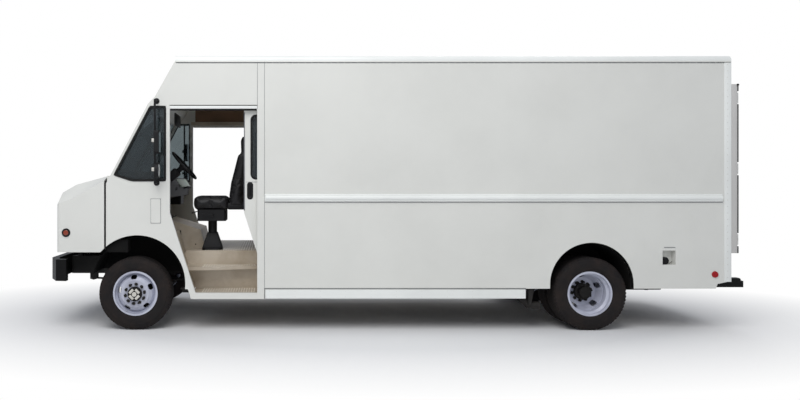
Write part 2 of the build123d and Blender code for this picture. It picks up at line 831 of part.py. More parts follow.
with BuildPart() as exhaust:
    silencer_x = rear_axle_x - silencer_ahead_of_axle
    silencer_end_x = silencer_x + silencer_length
    with BuildLine():
        FilletPolyline(
            (gearbox_rear_x - gearbox_radius, -pipe_front_inset_y, pipe_z),
            (gearbox_rear_x + gearbox_radius, -pipe_y, pipe_z),
            (silencer_x, -pipe_y, pipe_z),
            radius=tail_bend,
        )
    with BuildSketch(Plane(
        origin=(gearbox_rear_x - gearbox_radius, -pipe_front_inset_y, pipe_z),
        z_dir=(2 * gearbox_radius, pipe_front_inset_y - pipe_y, 0),
    )):
        Circle(pipe_radius)
    sweep()
    with BuildSketch(Plane.YZ.offset(silencer_x)):
        with Locations((-pipe_y, pipe_z)):
            Circle(silencer_radius)
    extrude(amount=silencer_length)
    tail_outlet_x = rear_axle_x - tail_outlet_ahead
    with BuildLine():
        FilletPolyline(
            (silencer_end_x, -pipe_y, pipe_z),
            (silencer_end_x + tail_bend, -pipe_y, pipe_z),
            (tail_outlet_x - 2 * tail_bend, -tail_y + tail_radius, tail_dip_z),
            (tail_outlet_x - tail_bend, -tail_y, tail_outlet_z),
            (tail_outlet_x, -tail_y, tail_outlet_z),
            radius=tail_corner,
        )
    with BuildSketch(Plane.YZ.offset(silencer_end_x)):
        with Locations((-pipe_y, pipe_z)):
            Circle(tail_radius)
    sweep()
    for share in strap_shares:
        with BuildSketch(Plane.YZ.offset(silencer_x + share * silencer_length)):
            with BuildLine():
                Polyline(
                    (-rail_outer_y, pipe_hanger_z),
                    (-rail_outer_y, pipe_hanger_z + strap_width),
                    (-pipe_y, pipe_hanger_z + strap_width),
                    (-pipe_y, pipe_z),
                    (-pipe_y + strap_width, pipe_z),
                    (-pipe_y + strap_width, pipe_hanger_z),
                    close=True,
                )
            make_face()
        extrude(amount=strap_width)
    with BuildSketch(upright(-1, tail_y, inner_half)):
        with BuildLine():
            bracket_x = tail_outlet_x - tail_bend - strap_width
            Polyline(
                (bracket_x, tail_outlet_z),
                (bracket_x, skirt_z + strap_width),
                (bracket_x + 3 * strap_width, skirt_z + strap_width),
                (bracket_x + 2 * strap_width, sill_top_z),
                (bracket_x + strap_width, tail_outlet_z),
                close=True,
            )
        make_face()
    extrude(amount=inner_half - tail_y)
save(exhaust, "exhaust")

# Fuel tank slung under the rails behind the rear axle
tank_behind_axle = 560
tank_length = 750
tank_half_width = 330
tank_height = 210
tank_corner = 50
tank_bar = 40
tank_bar_height = 24
tank_bar_shares = (0.3, 0.85)

with BuildPart() as fuel_tank:
    tank_x = rear_axle_x + tank_behind_axle
    tank_top_z = rail_bottom_z - tank_bar_height
    with BuildSketch(Plane.XY.offset(tank_top_z - tank_height)):
        with Locations((tank_x + tank_length / 2, 0)):
            Rectangle(tank_length, 2 * tank_half_width)
    extrude(amount=tank_height)
    fillet(fuel_tank.edges().filter_by(Axis.X), radius=tank_corner)
    for share in tank_bar_shares:
        with BuildSketch(Plane.XY.offset(tank_top_z)):
            with Locations((tank_x + tank_length * share, 0)):
                Rectangle(tank_bar, 2 * rail_outer_y)
        extrude(amount=tank_bar_height)
save(fuel_tank, "fuel_tank")

# Floor: a deck on cross sills, notched at the wheels, the steps and the doors' pockets
door_post = 84
pedal_floor_ahead = 740
doghouse_half_width = 400
doghouse_length = 1078
wheelhouse_front_depth = 580
wheelhouse_rear_depth = 600
wheelhouse_front_inner_y = half_width - wheelhouse_front_depth
wheelhouse_rear_inner_y = half_width - wheelhouse_rear_depth
wheelhouse_rear_half = 490
step_depth = 450
step_inner_y = half_width - step_depth
step_front_gap = 40
door_outset = 12
door_thickness = 38
door_length = 1040
door_open_front = 154
door_side_gap = 10
sill_count = 14
sill_width = 50
pocket_gap = 25
door_outer_y = inner_half - door_outset
door_inner_y = door_outer_y - door_thickness
deck_half_at_door = door_inner_y - door_side_gap
door_opening_rear_x = cab_rear_x - door_post
door_x = door_opening_rear_x - door_open_front
pocket_rear_x = door_x + door_length + pocket_gap
door_foot_behind_cowl = 1032
door_foot_x = cowl_x + door_foot_behind_cowl
door_front_behind_cowl = 734.5
door_front_x = cowl_x + door_front_behind_cowl
door_kink_z = 1367
door_header = 75
door_top_z = header_bottom_z - door_header
door_slope = (door_foot_x - door_front_x) / (door_kink_z - sill_top_z)
wheelhouse_top_z = 1130
cowl_wall = 40
doghouse_rear_x = cowl_x + doghouse_length


def slanted_x(z, gap):
    """Front edge of the door opening at height z, moved forward by a gap."""
    drop = max(door_kink_z - z, 0)
    return door_front_x + door_slope * drop - gap


with BuildPart() as floor:
    deck_front_x = cowl_x + cowl_wall
    house_rear_x = slanted_x(floor_bottom_z, step_front_gap)
    with BuildSketch(Plane.XY.offset(floor_bottom_z)):
        with BuildLine():
            Polyline(
                (deck_front_x, 0),
                (deck_front_x, wheelhouse_front_inner_y),
                (house_rear_x, wheelhouse_front_inner_y),
                (house_rear_x, step_inner_y),
                (door_opening_rear_x, step_inner_y),
                (door_opening_rear_x, deck_half_at_door),
                (pocket_rear_x, deck_half_at_door),
                (pocket_rear_x, inner_half),
                (body_rear_x - wall, inner_half),
                (body_rear_x - wall, 0),
                close=True,
            )
        make_face()
        with Locations((rear_axle_x, inner_half)):
            Rectangle(
                2 * wheelhouse_rear_half,
                2 * (inner_half - wheelhouse_rear_inner_y),
                mode=Mode.SUBTRACT,
            )
        with Locations(((deck_front_x + doghouse_rear_x) / 2, 0)):
            Rectangle(
                doghouse_rear_x - deck_front_x,
                2 * doghouse_half_width,
                mode=Mode.SUBTRACT,
            )
        mirror(about=Plane.XZ)
    extrude(amount=floor_thickness)
    with BuildSketch(Plane.XY.offset(rail_top_z)):
        sill_start_x = doghouse_rear_x + sill_width
        sill_pitch = (body_rear_x - 2 * wall - sill_start_x) / (sill_count - 1)
        for index in range(sill_count):
            x = sill_start_x + index * sill_pitch
            on_wheel = abs(x - rear_axle_x) < wheelhouse_rear_half + sill_width
            sill_half = wheelhouse_rear_inner_y if on_wheel else step_inner_y
            with Locations((x, 0)):
                Rectangle(sill_width, 2 * sill_half)
    extrude(amount=floor_bottom_z - rail_top_z)
    with BuildSketch(Plane.XY.offset(floor_bottom_z)):
        with Locations((filler_middle[0], -half_width)):
            Rectangle(filler_width, 2 * filler_depth)
    extrude(amount=floor_thickness, mode=Mode.SUBTRACT)
save(floor, "floor")

# Hood: a hollow nose, its crowned top falling to the side panels over a shoulder
hood_wall = 40
hood_shoulder = 200
hood_crown_half = half_width - hood_shoulder
nose_corner = 50
hood_notch_width = 66
hood_notch_height = 52
grille_inset = 730
grille_half_width = half_width - grille_inset
grille_bottom_z = 1010
grille_height = 360
lamp_inset = 560
lamp_inner_y = half_width - lamp_inset
lamp_width = 250
lamp_bottom_z = 1070
lamp_height = 170
arch_radius = 557
arch_centre_behind_cowl = 358
arch_centre_x = cowl_x + arch_centre_behind_cowl
arch_centre_z = 550
hood_rear_top_z = 1794
crown_profile = (
    # share of the hood's length from the nose, height of the crown, height of the side panel
    (0.0, 1500, 1440),
    (0.03, 1598, 1471),
    (0.33, 1692, 1530),
    (1.0, hood_rear_top_z, 1737),
)


def hood_section(side, y, inset, column):
    """Lengthwise section of the hood at |y|, on its own plane."""
    with BuildSketch(upright(side, y, y)) as section:
        with BuildLine():
            front = nose_x + inset
            rear = hood_rear_x + (overrun if inset else 0)
            bottom = hood_bottom_z - (overrun if inset else 0)
            length = rear - front
            heights = [(front + row[0] * length, row[column] - inset) for row in crown_profile]
            Polyline((front, bottom), *heights, (rear, bottom), close=True)
        make_face()
    return section.sketch


def hood_body(inset):
    """Closed form of the hood, shrunk by an inset."""
    with BuildPart(mode=Mode.PRIVATE) as body:
        crown = hood_section(1, hood_crown_half - inset, inset, 1)
        extrude(crown, amount=2 * (hood_crown_half - inset))
        for side in (-1, 1):
            near = hood_section(side, hood_crown_half - inset, inset, 1)
            far = hood_section(side, half_width - inset, inset, 2)
            loft([near.face(), far.face()], ruled=True)
    return body.part


with BuildPart() as hood:
    add(hood_body(0))
    nose_edges = hood.edges().filter_by(Axis.Z).group_by(Axis.X)[0]
    fillet(nose_edges, radius=nose_corner)
    add(hood_body(hood_wall), mode=Mode.SUBTRACT)
    with BuildSketch(Plane.XZ.offset(-half_width)):
        with Locations((arch_centre_x, arch_centre_z)):
            Circle(arch_radius)
    extrude(amount=body_width, mode=Mode.SUBTRACT)
    with BuildSketch(Plane.YZ.offset(nose_x - overrun)):
        with Locations((0, grille_bottom_z + grille_height / 2)):
            Rectangle(2 * grille_half_width, grille_height)
        for side in (-1, 1):
            with Locations((side * (lamp_inner_y + lamp_width / 2), lamp_bottom_z + lamp_height / 2)):
                Rectangle(lamp_width, lamp_height)
    extrude(amount=hood_wall + 2 * overrun, mode=Mode.SUBTRACT)
    with BuildSketch(Plane.YZ.offset(nose_x - overrun)):
        for side in (-1, 1):
            with Locations((side * (hood_lug_y - hood_notch_width / 2), hood_bottom_z)):
                Rectangle(hood_notch_width, 2 * hood_notch_height)
    extrude(amount=hood_wall + 2 * overrun, mode=Mode.SUBTRACT)
    for side in (-1, 1):
        with BuildSketch(upright(side, hood_lug_y, hood_lug_y + hood_lug_width)):
            with Locations(pivot):
                Circle(hood_lug_radius)
            with Locations(((nose_x + hood_wall + pivot[0]) / 2, pivot[1])):
                Rectangle(pivot[0] - nose_x - hood_wall, 2 * hood_lug_radius)
            with Locations(pivot):
                Circle(hood_pin_radius + running_fit, mode=Mode.SUBTRACT)
        extrude(amount=hood_lug_width)
save(hood, "hood")

# Grille: a surround and level bars in the hood's front opening
grille_border = 30
grille_bars = 8
grille_bar_height = 18
grille_depth = 26

with BuildPart() as grille:
    with BuildSketch(Plane.YZ.offset(nose_x)):
        with Locations((0, grille_bottom_z + grille_height / 2)):
            Rectangle(2 * grille_half_width, grille_height)
            Rectangle(
                2 * (grille_half_width - grille_border),
                grille_height - 2 * grille_border,
                mode=Mode.SUBTRACT,
            )
            bar_pitch = (grille_height - 2 * grille_border) / (grille_bars + 1)
            with GridLocations(0, bar_pitch, 1, grille_bars):
                Rectangle(2 * grille_half_width, grille_bar_height)
    extrude(amount=grille_depth)
save(grille, "grille")

with BuildPart() as headlamps:
    for side in (-1, 1):
        with BuildSketch(Plane.YZ.offset(nose_x + grille_depth / 2)):
            with Locations((side * (lamp_inner_y + lamp_width / 2), lamp_bottom_z + lamp_height / 2)):
                Rectangle(lamp_width, lamp_height)
        extrude(amount=hood_wall)
save(headlamps, "headlamps")

# Side marker lamps at the front, one on each hood panel
marker_behind_nose = 114
marker_x = nose_x + marker_behind_nose
marker_z = 1137
marker_radius = 50
marker_height = 12

with BuildPart() as front_markers:
    with BuildSketch(upright(-1, half_width, half_width + marker_height)):
        with Locations((marker_x, marker_z)):
            Circle(marker_radius)
    extrude(amount=marker_height, taper=20)
    mirror(about=Plane.XZ)
save(front_markers, "front_markers")

# Cowl: the fire wall behind the hood, a shelf on it and the sloped windshield frame on that
cowl_shelf = 100
tunnel_half_width = doghouse_half_width
tunnel_top_z = 1390
windshield_slope = 0.525
windshield_run = windshield_slope * (header_bottom_z - belt_z)
frame_depth = 52
frame_edge = 70
centre_post_half = 30
glass_thickness = 7
glass_setback = 20


def windshield_x(z):
    """Front face of the windshield frame at height z."""
    return cowl_x + windshield_slope * (z - belt_z)


with BuildPart() as cowl:
    with BuildSketch(Plane.XZ.offset(-inner_half)):
        with BuildLine():
            Polyline(
                (cowl_x, hood_bottom_z),
                (cowl_x, hood_rear_top_z),
                (cowl_x + cowl_shelf, hood_rear_top_z),
                (cowl_x + cowl_shelf, hood_rear_top_z - wall),
                (cowl_x + cowl_wall, hood_rear_top_z - wall),
                (cowl_x + cowl_wall, hood_bottom_z),
                close=True,
            )
        make_face()
    extrude(amount=2 * inner_half)
    with BuildSketch(Plane.YZ.offset(cowl_x - overrun)):
        with Locations((0, tunnel_top_z / 2)):
            Rectangle(2 * tunnel_half_width, tunnel_top_z)
    extrude(amount=cowl_shelf, mode=Mode.SUBTRACT)

    with BuildSketch(Plane.XZ.offset(-inner_half)):
        with BuildLine():
            Polyline(
                (windshield_x(hood_rear_top_z), hood_rear_top_z),
                (windshield_x(header_bottom_z), header_bottom_z),
                (windshield_x(header_bottom_z) + frame_depth, header_bottom_z),
                (windshield_x(hood_rear_top_z) + frame_depth, hood_rear_top_z),
                close=True,
            )
        make_face()
    extrude(amount=2 * inner_half)
    pane_bottom_z = hood_rear_top_z + frame_edge
    pane_top_z = header_bottom_z - frame_edge
    pane_outer_y = inner_half - frame_edge
    with BuildSketch(Plane.YZ.offset(cowl_x - overrun)):
        for side in (-1, 1):
            with Locations((side * (centre_post_half + pane_outer_y) / 2, (pane_bottom_z + pane_top_z) / 2)):
                Rectangle(pane_outer_y - centre_post_half, pane_top_z - pane_bottom_z)
    extrude(amount=2 * windshield_run, mode=Mode.SUBTRACT)
save(cowl, "cowl")

# Cab sides: one sheet panel round the door, with the quarter window, arch and rear post
header_step = 77
header_foot_x = cowl_x + windshield_run + header_step
header_top_behind_cowl = 794
header_top_x = cowl_x + header_top_behind_cowl
quarter_rear_behind_cowl = 690
quarter_rear_x = cowl_x + quarter_rear_behind_cowl
quarter_top_below_header = 26
quarter_top_z = header_bottom_z - quarter_top_below_header
quarter_bottom_z = 1731
quarter_low_behind_cowl = 298
quarter_low_x = cowl_x + quarter_low_behind_cowl
quarter_front_z = 1799
quarter_post = 35
vent_behind_cowl = 574
vent_z = 1388
vent_width = 110
vent_height = 277
vent_corner = 12
vent_proud = 6
sill_front_behind_cowl = 981
sill_front_x = cowl_x + sill_front_behind_cowl
sill_rise = 112


def quarter_outline(inset):
    """Corners of the quarter window, shrunk by an inset."""
    slope_inset = inset * sqrt(1 + windshield_slope * windshield_slope)
    low_z = quarter_bottom_z + inset
    kink_z = quarter_front_z + inset
    top_z = quarter_top_z - inset
    return [
        (windshield_x(kink_z) + quarter_post + slope_inset, kink_z),
        (windshield_x(top_z) + quarter_post + slope_inset, top_z),
        (quarter_rear_x - inset, top_z),
        (quarter_rear_x - inset, low_z),
        (quarter_low_x + inset, low_z),
    ]


for name, side in sides:
    with BuildPart() as cab_side:
        with BuildSketch(upright(side, inner_half, half_width)):
            with BuildLine():
                Polyline(
                    (cowl_x, arch_centre_z),
                    (cowl_x, belt_z),
                    (windshield_x(header_bottom_z), header_bottom_z),
                    (door_opening_rear_x, header_bottom_z),
                    (door_opening_rear_x, roof_seam_z),
                    (cab_rear_x, roof_seam_z),
                    (cab_rear_x, sill_bottom_z),
                    (sill_front_x, sill_bottom_z),
                    (sill_front_x - door_slope * sill_rise, sill_bottom_z + sill_rise),
                    close=True,
                )
            make_face()
            with Locations((arch_centre_x, arch_centre_z)):
                Circle(arch_radius, mode=Mode.SUBTRACT)
            with BuildLine():
                Polyline(*quarter_outline(0), close=True)
            make_face(mode=Mode.SUBTRACT)
            with BuildLine():
                Polyline(
                    (door_front_x, door_top_z),
                    (door_front_x, door_kink_z),
                    (door_foot_x, sill_top_z),
                    (door_opening_rear_x, sill_top_z),
                    (door_opening_rear_x, door_top_z),
                    close=True,
                )
            make_face(mode=Mode.SUBTRACT)
        extrude(amount=wall)
        with BuildSketch(upright(side, half_width, half_width + vent_proud)):
            with Locations((cowl_x + vent_behind_cowl, vent_z)):
                RectangleRounded(vent_width, vent_height, vent_corner)
        extrude(amount=vent_proud)
    save(cab_side, f"cab_side_{name}")

# Fixed glass of the cab: two windshield panes and the quarter windows
with BuildPart() as cab_glass:
    for side in (-1, 1):
        with BuildSketch(upright(side, centre_post_half, pane_outer_y)):
            with BuildLine():
                lower_x = windshield_x(pane_bottom_z) + glass_setback
                upper_x = windshield_x(pane_top_z) + glass_setback
                Polyline(
                    (lower_x, pane_bottom_z),
                    (upper_x, pane_top_z),
                    (upper_x + glass_thickness, pane_top_z),
                    (lower_x + glass_thickness, pane_bottom_z),
                    close=True,
                )
            make_face()
        extrude(amount=pane_outer_y - centre_post_half)
        glass_y = inner_half + wall / 2
        with BuildSketch(upright(side, glass_y, glass_y + glass_thickness)):
            with BuildLine():
                Polyline(*quarter_outline(0), close=True)
            make_face()
        extrude(amount=glass_thickness)
save(cab_glass, "cab_glass")

# Header: the sloped cap over the windshield with its side panels above the doors
with BuildPart() as header:
    with BuildSketch(Plane.XZ.offset(-half_width)):
        with BuildLine():
            Polyline(
                (windshield_x(header_bottom_z), header_bottom_z),
                (header_foot_x, header_bottom_z + header_step),
                (header_top_x, roof_seam_z),
                (door_opening_rear_x, roof_seam_z),
                (door_opening_rear_x, header_bottom_z),
                close=True,
            )
        make_face()
    extrude(amount=2 * half_width)
    with BuildSketch(Plane.XZ.offset(-inner_half)):
        with BuildLine():
            Polyline(
                (windshield_x(header_bottom_z) + frame_depth, header_bottom_z - overrun),
                (windshield_x(header_bottom_z) + frame_depth, header_bottom_z),
                (header_foot_x + frame_depth, header_bottom_z + header_step),
                (header_top_x + frame_depth, roof_seam_z),
                (header_top_x + frame_depth, roof_seam_z + overrun),
                (door_opening_rear_x + overrun, roof_seam_z + overrun),
                (door_opening_rear_x + overrun, header_bottom_z - overrun),
                close=True,
            )
        make_face()
    extrude(amount=2 * inner_half, mode=Mode.SUBTRACT)
save(header, "header")

# Roof: one skin rolled over at both eaves
roof_skin = 45
eave_radius = 50
bow_count = 8
bow_width = 50
bow_height = 28

with BuildPart() as roof:
    with BuildSketch(Plane.YZ.offset(header_top_x)):
        with Locations((0, roof_seam_z + roof_height / 2)):
            Rectangle(body_width, roof_height)
    extrude(amount=body_rear_x - header_top_x)
    fillet(roof.edges().filter_by(Axis.X).group_by(Axis.Z)[-1], radius=eave_radius)
    with BuildSketch(Plane.YZ.offset(header_top_x + wall)):
        with Locations((0, roof_seam_z + (roof_height - roof_skin) / 2)):
            Rectangle(2 * inner_half, roof_height - roof_skin)
    extrude(amount=body_rear_x - header_top_x - 2 * wall, mode=Mode.SUBTRACT)
    bow_pitch = (body_rear_x - cab_rear_x) / (bow_count + 1)
    with BuildSketch(Plane.XY.offset(roof_top_z - roof_skin - bow_height)):
        for index in range(bow_count):
            with Locations((cab_rear_x + (index + 1) * bow_pitch, 0)):
                Rectangle(bow_width, 2 * inner_half)
    extrude(amount=bow_height)
save(roof, "roof")

# Cargo sides: tall panels with the rear arch, the left one with the filler's opening
rear_arch_radius = 482
rear_arch_z = 539
tail_chamfer_ahead_of_rear = 179
tail_chamfer_x = body_rear_x - tail_chamfer_ahead_of_rear
tail_rise_ahead_of_rear = 159
tail_rise_x = body_rear_x - tail_rise_ahead_of_rear
tail_rise_z = 545
tail_end_z = 579
post_depth = 25
post_foot_z = 1060
post_top_z = roof_top_z - roof_skin - bow_height

for name, side in sides:
    with BuildPart() as cargo_side:
        with BuildSketch(upright(side, inner_half, half_width)):
            with BuildLine():
                Polyline(
                    (cab_rear_x, skirt_z),
                    (cab_rear_x, roof_seam_z),
                    (body_rear_x, roof_seam_z),
                    (body_rear_x, tail_end_z),
                    (tail_rise_x, tail_rise_z),
                    (tail_chamfer_x, skirt_z),
                    close=True,
                )
            make_face()
            with Locations((rear_axle_x, rear_arch_z)):
                Circle(rear_arch_radius, mode=Mode.SUBTRACT)
            with Locations((rear_axle_x, skirt_z)):
                Rectangle(2 * rear_arch_radius, 2 * (rear_arch_z - skirt_z), mode=Mode.SUBTRACT)
            if side < 0:
                with Locations(filler_middle):
                    Rectangle(filler_width, filler_height, mode=Mode.SUBTRACT)
        extrude(amount=wall)
        with BuildSketch(upright(side, inner_half - post_depth, inner_half)):
            for index in range(2, bow_count):
                with Locations((cab_rear_x + (index + 1) * bow_pitch, (post_foot_z + post_top_z) / 2)):
                    Rectangle(bow_width, post_top_z - post_foot_z)
        extrude(amount=post_depth)
    save(cargo_side, f"cargo_side_{name}")

# Fuel filler: a pocket in the left side with its neck and cap
filler_wall = 5
cap_radius = 42
cap_offset = 29
neck_radius = 30
cap_height = 26
neck_height = 30

with BuildPart() as fuel_filler:
    with BuildSketch(upright(-1, half_width - filler_depth, half_width)):
        with Locations(filler_middle):
            Rectangle(filler_width, filler_height)
    extrude(amount=filler_depth)
    with BuildSketch(upright(-1, half_width - filler_depth + filler_wall, half_width)):
        with Locations(filler_middle):
            Rectangle(filler_width - 2 * filler_wall, filler_height - 2 * filler_wall)
    extrude(amount=filler_depth, mode=Mode.SUBTRACT)
    neck_start_y = half_width - filler_depth + filler_wall
    cap_middle = (filler_middle[0] - cap_offset, filler_bottom_z + cap_radius + filler_wall)
    for radius, height in ((neck_radius, neck_height + cap_height), (cap_radius, 0)):
        foot_y = neck_start_y if height else neck_start_y + neck_height
        with BuildSketch(upright(-1, foot_y, neck_start_y + neck_height + cap_height)):
            with Locations(cap_middle):
                Circle(radius)
        extrude(amount=neck_start_y + neck_height + cap_height - foot_y)
save(fuel_filler, "fuel_filler")

# Rub rails: one at mid height along the cargo sides, one under each skirt ahead of the wheel
mid_rail_z = 1491
mid_rail_height = 93
mid_rail_end_ahead_of_rear = 102
mid_rail_end_x = body_rear_x - mid_rail_end_ahead_of_rear
rub_proud = 22
low_rail_end_ahead_of_axle = 762
low_rail_end_x = rear_axle_x - low_rail_end_ahead_of_axle

with BuildPart() as rub_rails:
    with BuildSketch(upright(-1, half_width, half_width + rub_proud)):
        with BuildLine():
            Polyline(
                (cab_rear_x, mid_rail_z),
                (cab_rear_x, mid_rail_z + mid_rail_height),
                (mid_rail_end_x, mid_rail_z + mid_rail_height),
                (mid_rail_end_x, mid_rail_z),
                close=True,
            )
        make_face()
    extrude(amount=rub_proud, taper=30)
    with BuildSketch(upright(-1, inner_half, half_width + rub_proud)):
        with BuildLine():
            Polyline(
                (cab_rear_x, sill_bottom_z),
                (cab_rear_x, skirt_z),
                (low_rail_end_x, skirt_z),
                (low_rail_end_x, sill_bottom_z),
                close=True,
            )
        make_face()
    extrude(amount=wall + rub_proud, taper=8)
    mirror(about=Plane.XZ)
save(rub_rails, "rub_rails")

# Wheelhouses: sheet boxes, the front ones slanted like the door, the rear ones in the load space
house_bottom_z = 450
house_inner_bottom_z = 800
rear_house_top_z = 1040
rear_house_bottom_z = 700

with BuildPart() as wheelhouses:
    for side in (-1, 1):
        for skin, near in ((0, wheelhouse_front_inner_y), (sheet, wheelhouse_front_inner_y + sheet)):
            with BuildSketch(upright(side, near, inner_half)):
                with BuildLine():
                    low_z = house_bottom_z - (overrun if skin else 0)
                    front = cowl_x + cowl_wall - (overrun if skin else 0)
                    gap = step_front_gap + skin
                    Polyline(
                        (front, wheelhouse_top_z - skin),
                        (slanted_x(wheelhouse_top_z - skin, gap), wheelhouse_top_z - skin),
                        (slanted_x(low_z, gap), low_z),
                        (front, low_z),
                        close=True,
                    )
                make_face()
            extrude(amount=inner_half - near, mode=Mode.SUBTRACT if skin else Mode.ADD)
        with BuildSketch(upright(side, wheelhouse_front_inner_y, wheelhouse_front_inner_y + sheet)):
            with Locations((front_axle_x, house_inner_bottom_z / 2)):
                Rectangle(2 * arch_radius, house_inner_bottom_z)
        extrude(amount=sheet, mode=Mode.SUBTRACT)
    for side in (-1, 1):
        for skin in (0, sheet):
            near = wheelhouse_rear_inner_y + skin
            low_z = rear_house_bottom_z - (overrun if skin else 0)
            with BuildSketch(upright(side, near, inner_half)):
                with Locations((rear_axle_x, (rear_house_top_z - skin + low_z) / 2)):
                    Rectangle(2 * (wheelhouse_rear_half - skin), rear_house_top_z - skin - low_z)
            extrude(amount=inner_half - near, mode=Mode.SUBTRACT if skin else Mode.ADD)
save(wheelhouses, "wheelhouses")

# Engine cover between the seats, open to the front and below
cover_wall = 8
cover_crest_behind_cowl = 650
cover_crest_x = cowl_x + cover_crest_behind_cowl
cover_crest_z = 1230
cover_tail_behind_cowl = 1010
cover_tail_x = cowl_x + cover_tail_behind_cowl
cover_tail_z = 1120

with BuildPart() as engine_cover:
    for skin in (0, cover_wall):
        reach = overrun if skin else 0
        half = doghouse_half_width - skin
        with BuildSketch(Plane.XZ.offset(-half)):
            with BuildLine():
                Polyline(
                    (cowl_x + cowl_wall - reach, floor_bottom_z - reach),
                    (cowl_x + cowl_wall - reach, tunnel_top_z - skin),
                    (cover_crest_x, cover_crest_z - skin),
                    (cover_tail_x, cover_tail_z - skin),
                    (doghouse_rear_x - skin, floor_bottom_z - reach),
                    close=True,
                )
            make_face()
        extrude(amount=2 * half, mode=Mode.SUBTRACT if skin else Mode.ADD)
save(engine_cover, "engine_cover")

# Step wells: two bent plate treads inside each door, the upper one narrower towards the rear
upper_tread_z = 722
upper_tread_front_inset = 120
upper_tread_rear_inset = 300
upper_tread_front_y = half_width - upper_tread_front_inset
upper_tread_rear_y = half_width - upper_tread_rear_inset
tread_metal = 8
tread_lip = 40
lower_riser_inset = 400
lower_riser_y = half_width - lower_riser_inset

with BuildPart() as step_wells:
    for side in (-1, 1):
        well_front_x = slanted_x(floor_top_z, step_front_gap)
        lower_front_x = slanted_x(sill_top_z, step_front_gap)
        riser_table = (
            # inner face, top, bottom
            (step_inner_y, floor_bottom_z, upper_tread_z - tread_metal),
            (lower_riser_y, upper_tread_z - tread_metal, sill_top_z - tread_metal),
        )
        for riser_y, riser_top_z, riser_bottom_z in riser_table:
            with BuildSketch(Plane.XY.offset(riser_bottom_z)):
                with BuildLine():
                    Polyline(
                        (well_front_x, side * riser_y),
                        (door_opening_rear_x, side * riser_y),
                        (door_opening_rear_x, side * (riser_y + tread_metal)),
                        (well_front_x, side * (riser_y + tread_metal)),
                        close=True,
                    )
                make_face()
            extrude(amount=riser_top_z - riser_bottom_z)
        for lip, depth in ((0, tread_metal), (tread_metal, tread_lip)):
            with BuildSketch(Plane.XY.offset(upper_tread_z - depth)):
                with BuildLine():
                    inner_front = upper_tread_front_y - lip if lip else step_inner_y
                    inner_rear = upper_tread_rear_y - lip if lip else step_inner_y
                    Polyline(
                        (well_front_x, side * inner_front),
                        (well_front_x, side * upper_tread_front_y),
                        (door_opening_rear_x, side * upper_tread_rear_y),
                        (door_opening_rear_x, side * inner_rear),
                        close=True,
                    )
                make_face()
            extrude(amount=depth)
        with BuildSketch(Plane.XY.offset(sill_top_z - tread_metal)):
            with BuildLine():
                Polyline(
                    (well_front_x, side * lower_riser_y),
                    (well_front_x, side * inner_half),
                    (door_opening_rear_x, side * inner_half),
                    (door_opening_rear_x, side * lower_riser_y),
                    close=True,
                )
            make_face()
        extrude(amount=tread_metal)
        with BuildSketch(Plane.YZ.offset(door_opening_rear_x)):
            with BuildLine():
                Polyline(
                    (side * step_inner_y, floor_bottom_z),
                    (side * step_inner_y, sill_top_z - tread_metal),
                    (side * deck_half_at_door, sill_top_z - tread_metal),
                    (side * deck_half_at_door, floor_bottom_z),
                    close=True,
                )
            make_face()
        extrude(amount=tread_metal)
        with BuildSketch(upright(side, step_inner_y, inner_half)):
            with BuildLine():
                Polyline(
                    (slanted_x(floor_top_z, step_front_gap), floor_top_z),
                    (slanted_x(house_bottom_z - overrun, step_front_gap), house_bottom_z - overrun),
                    (well_front_x - overrun, house_bottom_z - overrun),
                    (well_front_x - overrun, floor_top_z),
                    close=True,
                )
            make_face()
        extrude(amount=inner_half - step_inner_y, mode=Mode.SUBTRACT)
save(step_wells, "step_wells")

# Door tracks: lipped channels under the header, running back into the load space
track_height = 44
track_metal = 4
track_slot = 12
track_gap = 6
track_top_z = header_bottom_z - track_gap
roller_width = 24
roller_height = 26
stem_width = 8
stem_share = 0.12
track_front_ahead_of_door = 20
track_front_x = door_front_x - track_front_ahead_of_door
track_bottom_z = track_top_z - track_height
track_middle_y = door_outer_y - door_thickness / 2
track_half = door_thickness / 2

with BuildPart() as door_tracks:
    for side in (-1, 1):
        with BuildSketch(Plane.YZ.offset(track_front_x)):
            with BuildLine():
                inner_y = track_middle_y - track_half
                Polyline(
                    (side * inner_y, track_bottom_z),
                    (side * inner_y, track_top_z),
                    (side * inner_half, track_top_z),
                    (side * inner_half, track_bottom_z),
                    close=True,
                )
            make_face()
            with Locations((side * track_middle_y, (track_bottom_z + track_top_z) / 2)):
                Rectangle(
                    2 * (track_half - track_metal),
                    track_height - 2 * track_metal,
                    mode=Mode.SUBTRACT,
                )
            with Locations((side * track_middle_y, track_bottom_z)):
                Rectangle(track_slot, 2 * track_height - 4 * track_metal, mode=Mode.SUBTRACT)
        extrude(amount=pocket_rear_x - track_front_x)
save(door_tracks, "door_tracks")

# Sliding cab doors: hung from rollers, the front edge slanted below the kink like the opening
door_bottom_gap = 12
pane_front = 82
pane_bottom = 1758
pane_top_gap = 54
pane_height = door_top_z - pane_top_gap - pane_bottom
pane_corner = 58
door_glass = 8
pull_setback = 70
pull_z = 1621
pull_width = 66
pull_height = 192
pull_depth = 16
door_bottom_z = sill_top_z + door_bottom_gap
door_head_z = track_bottom_z - door_bottom_gap

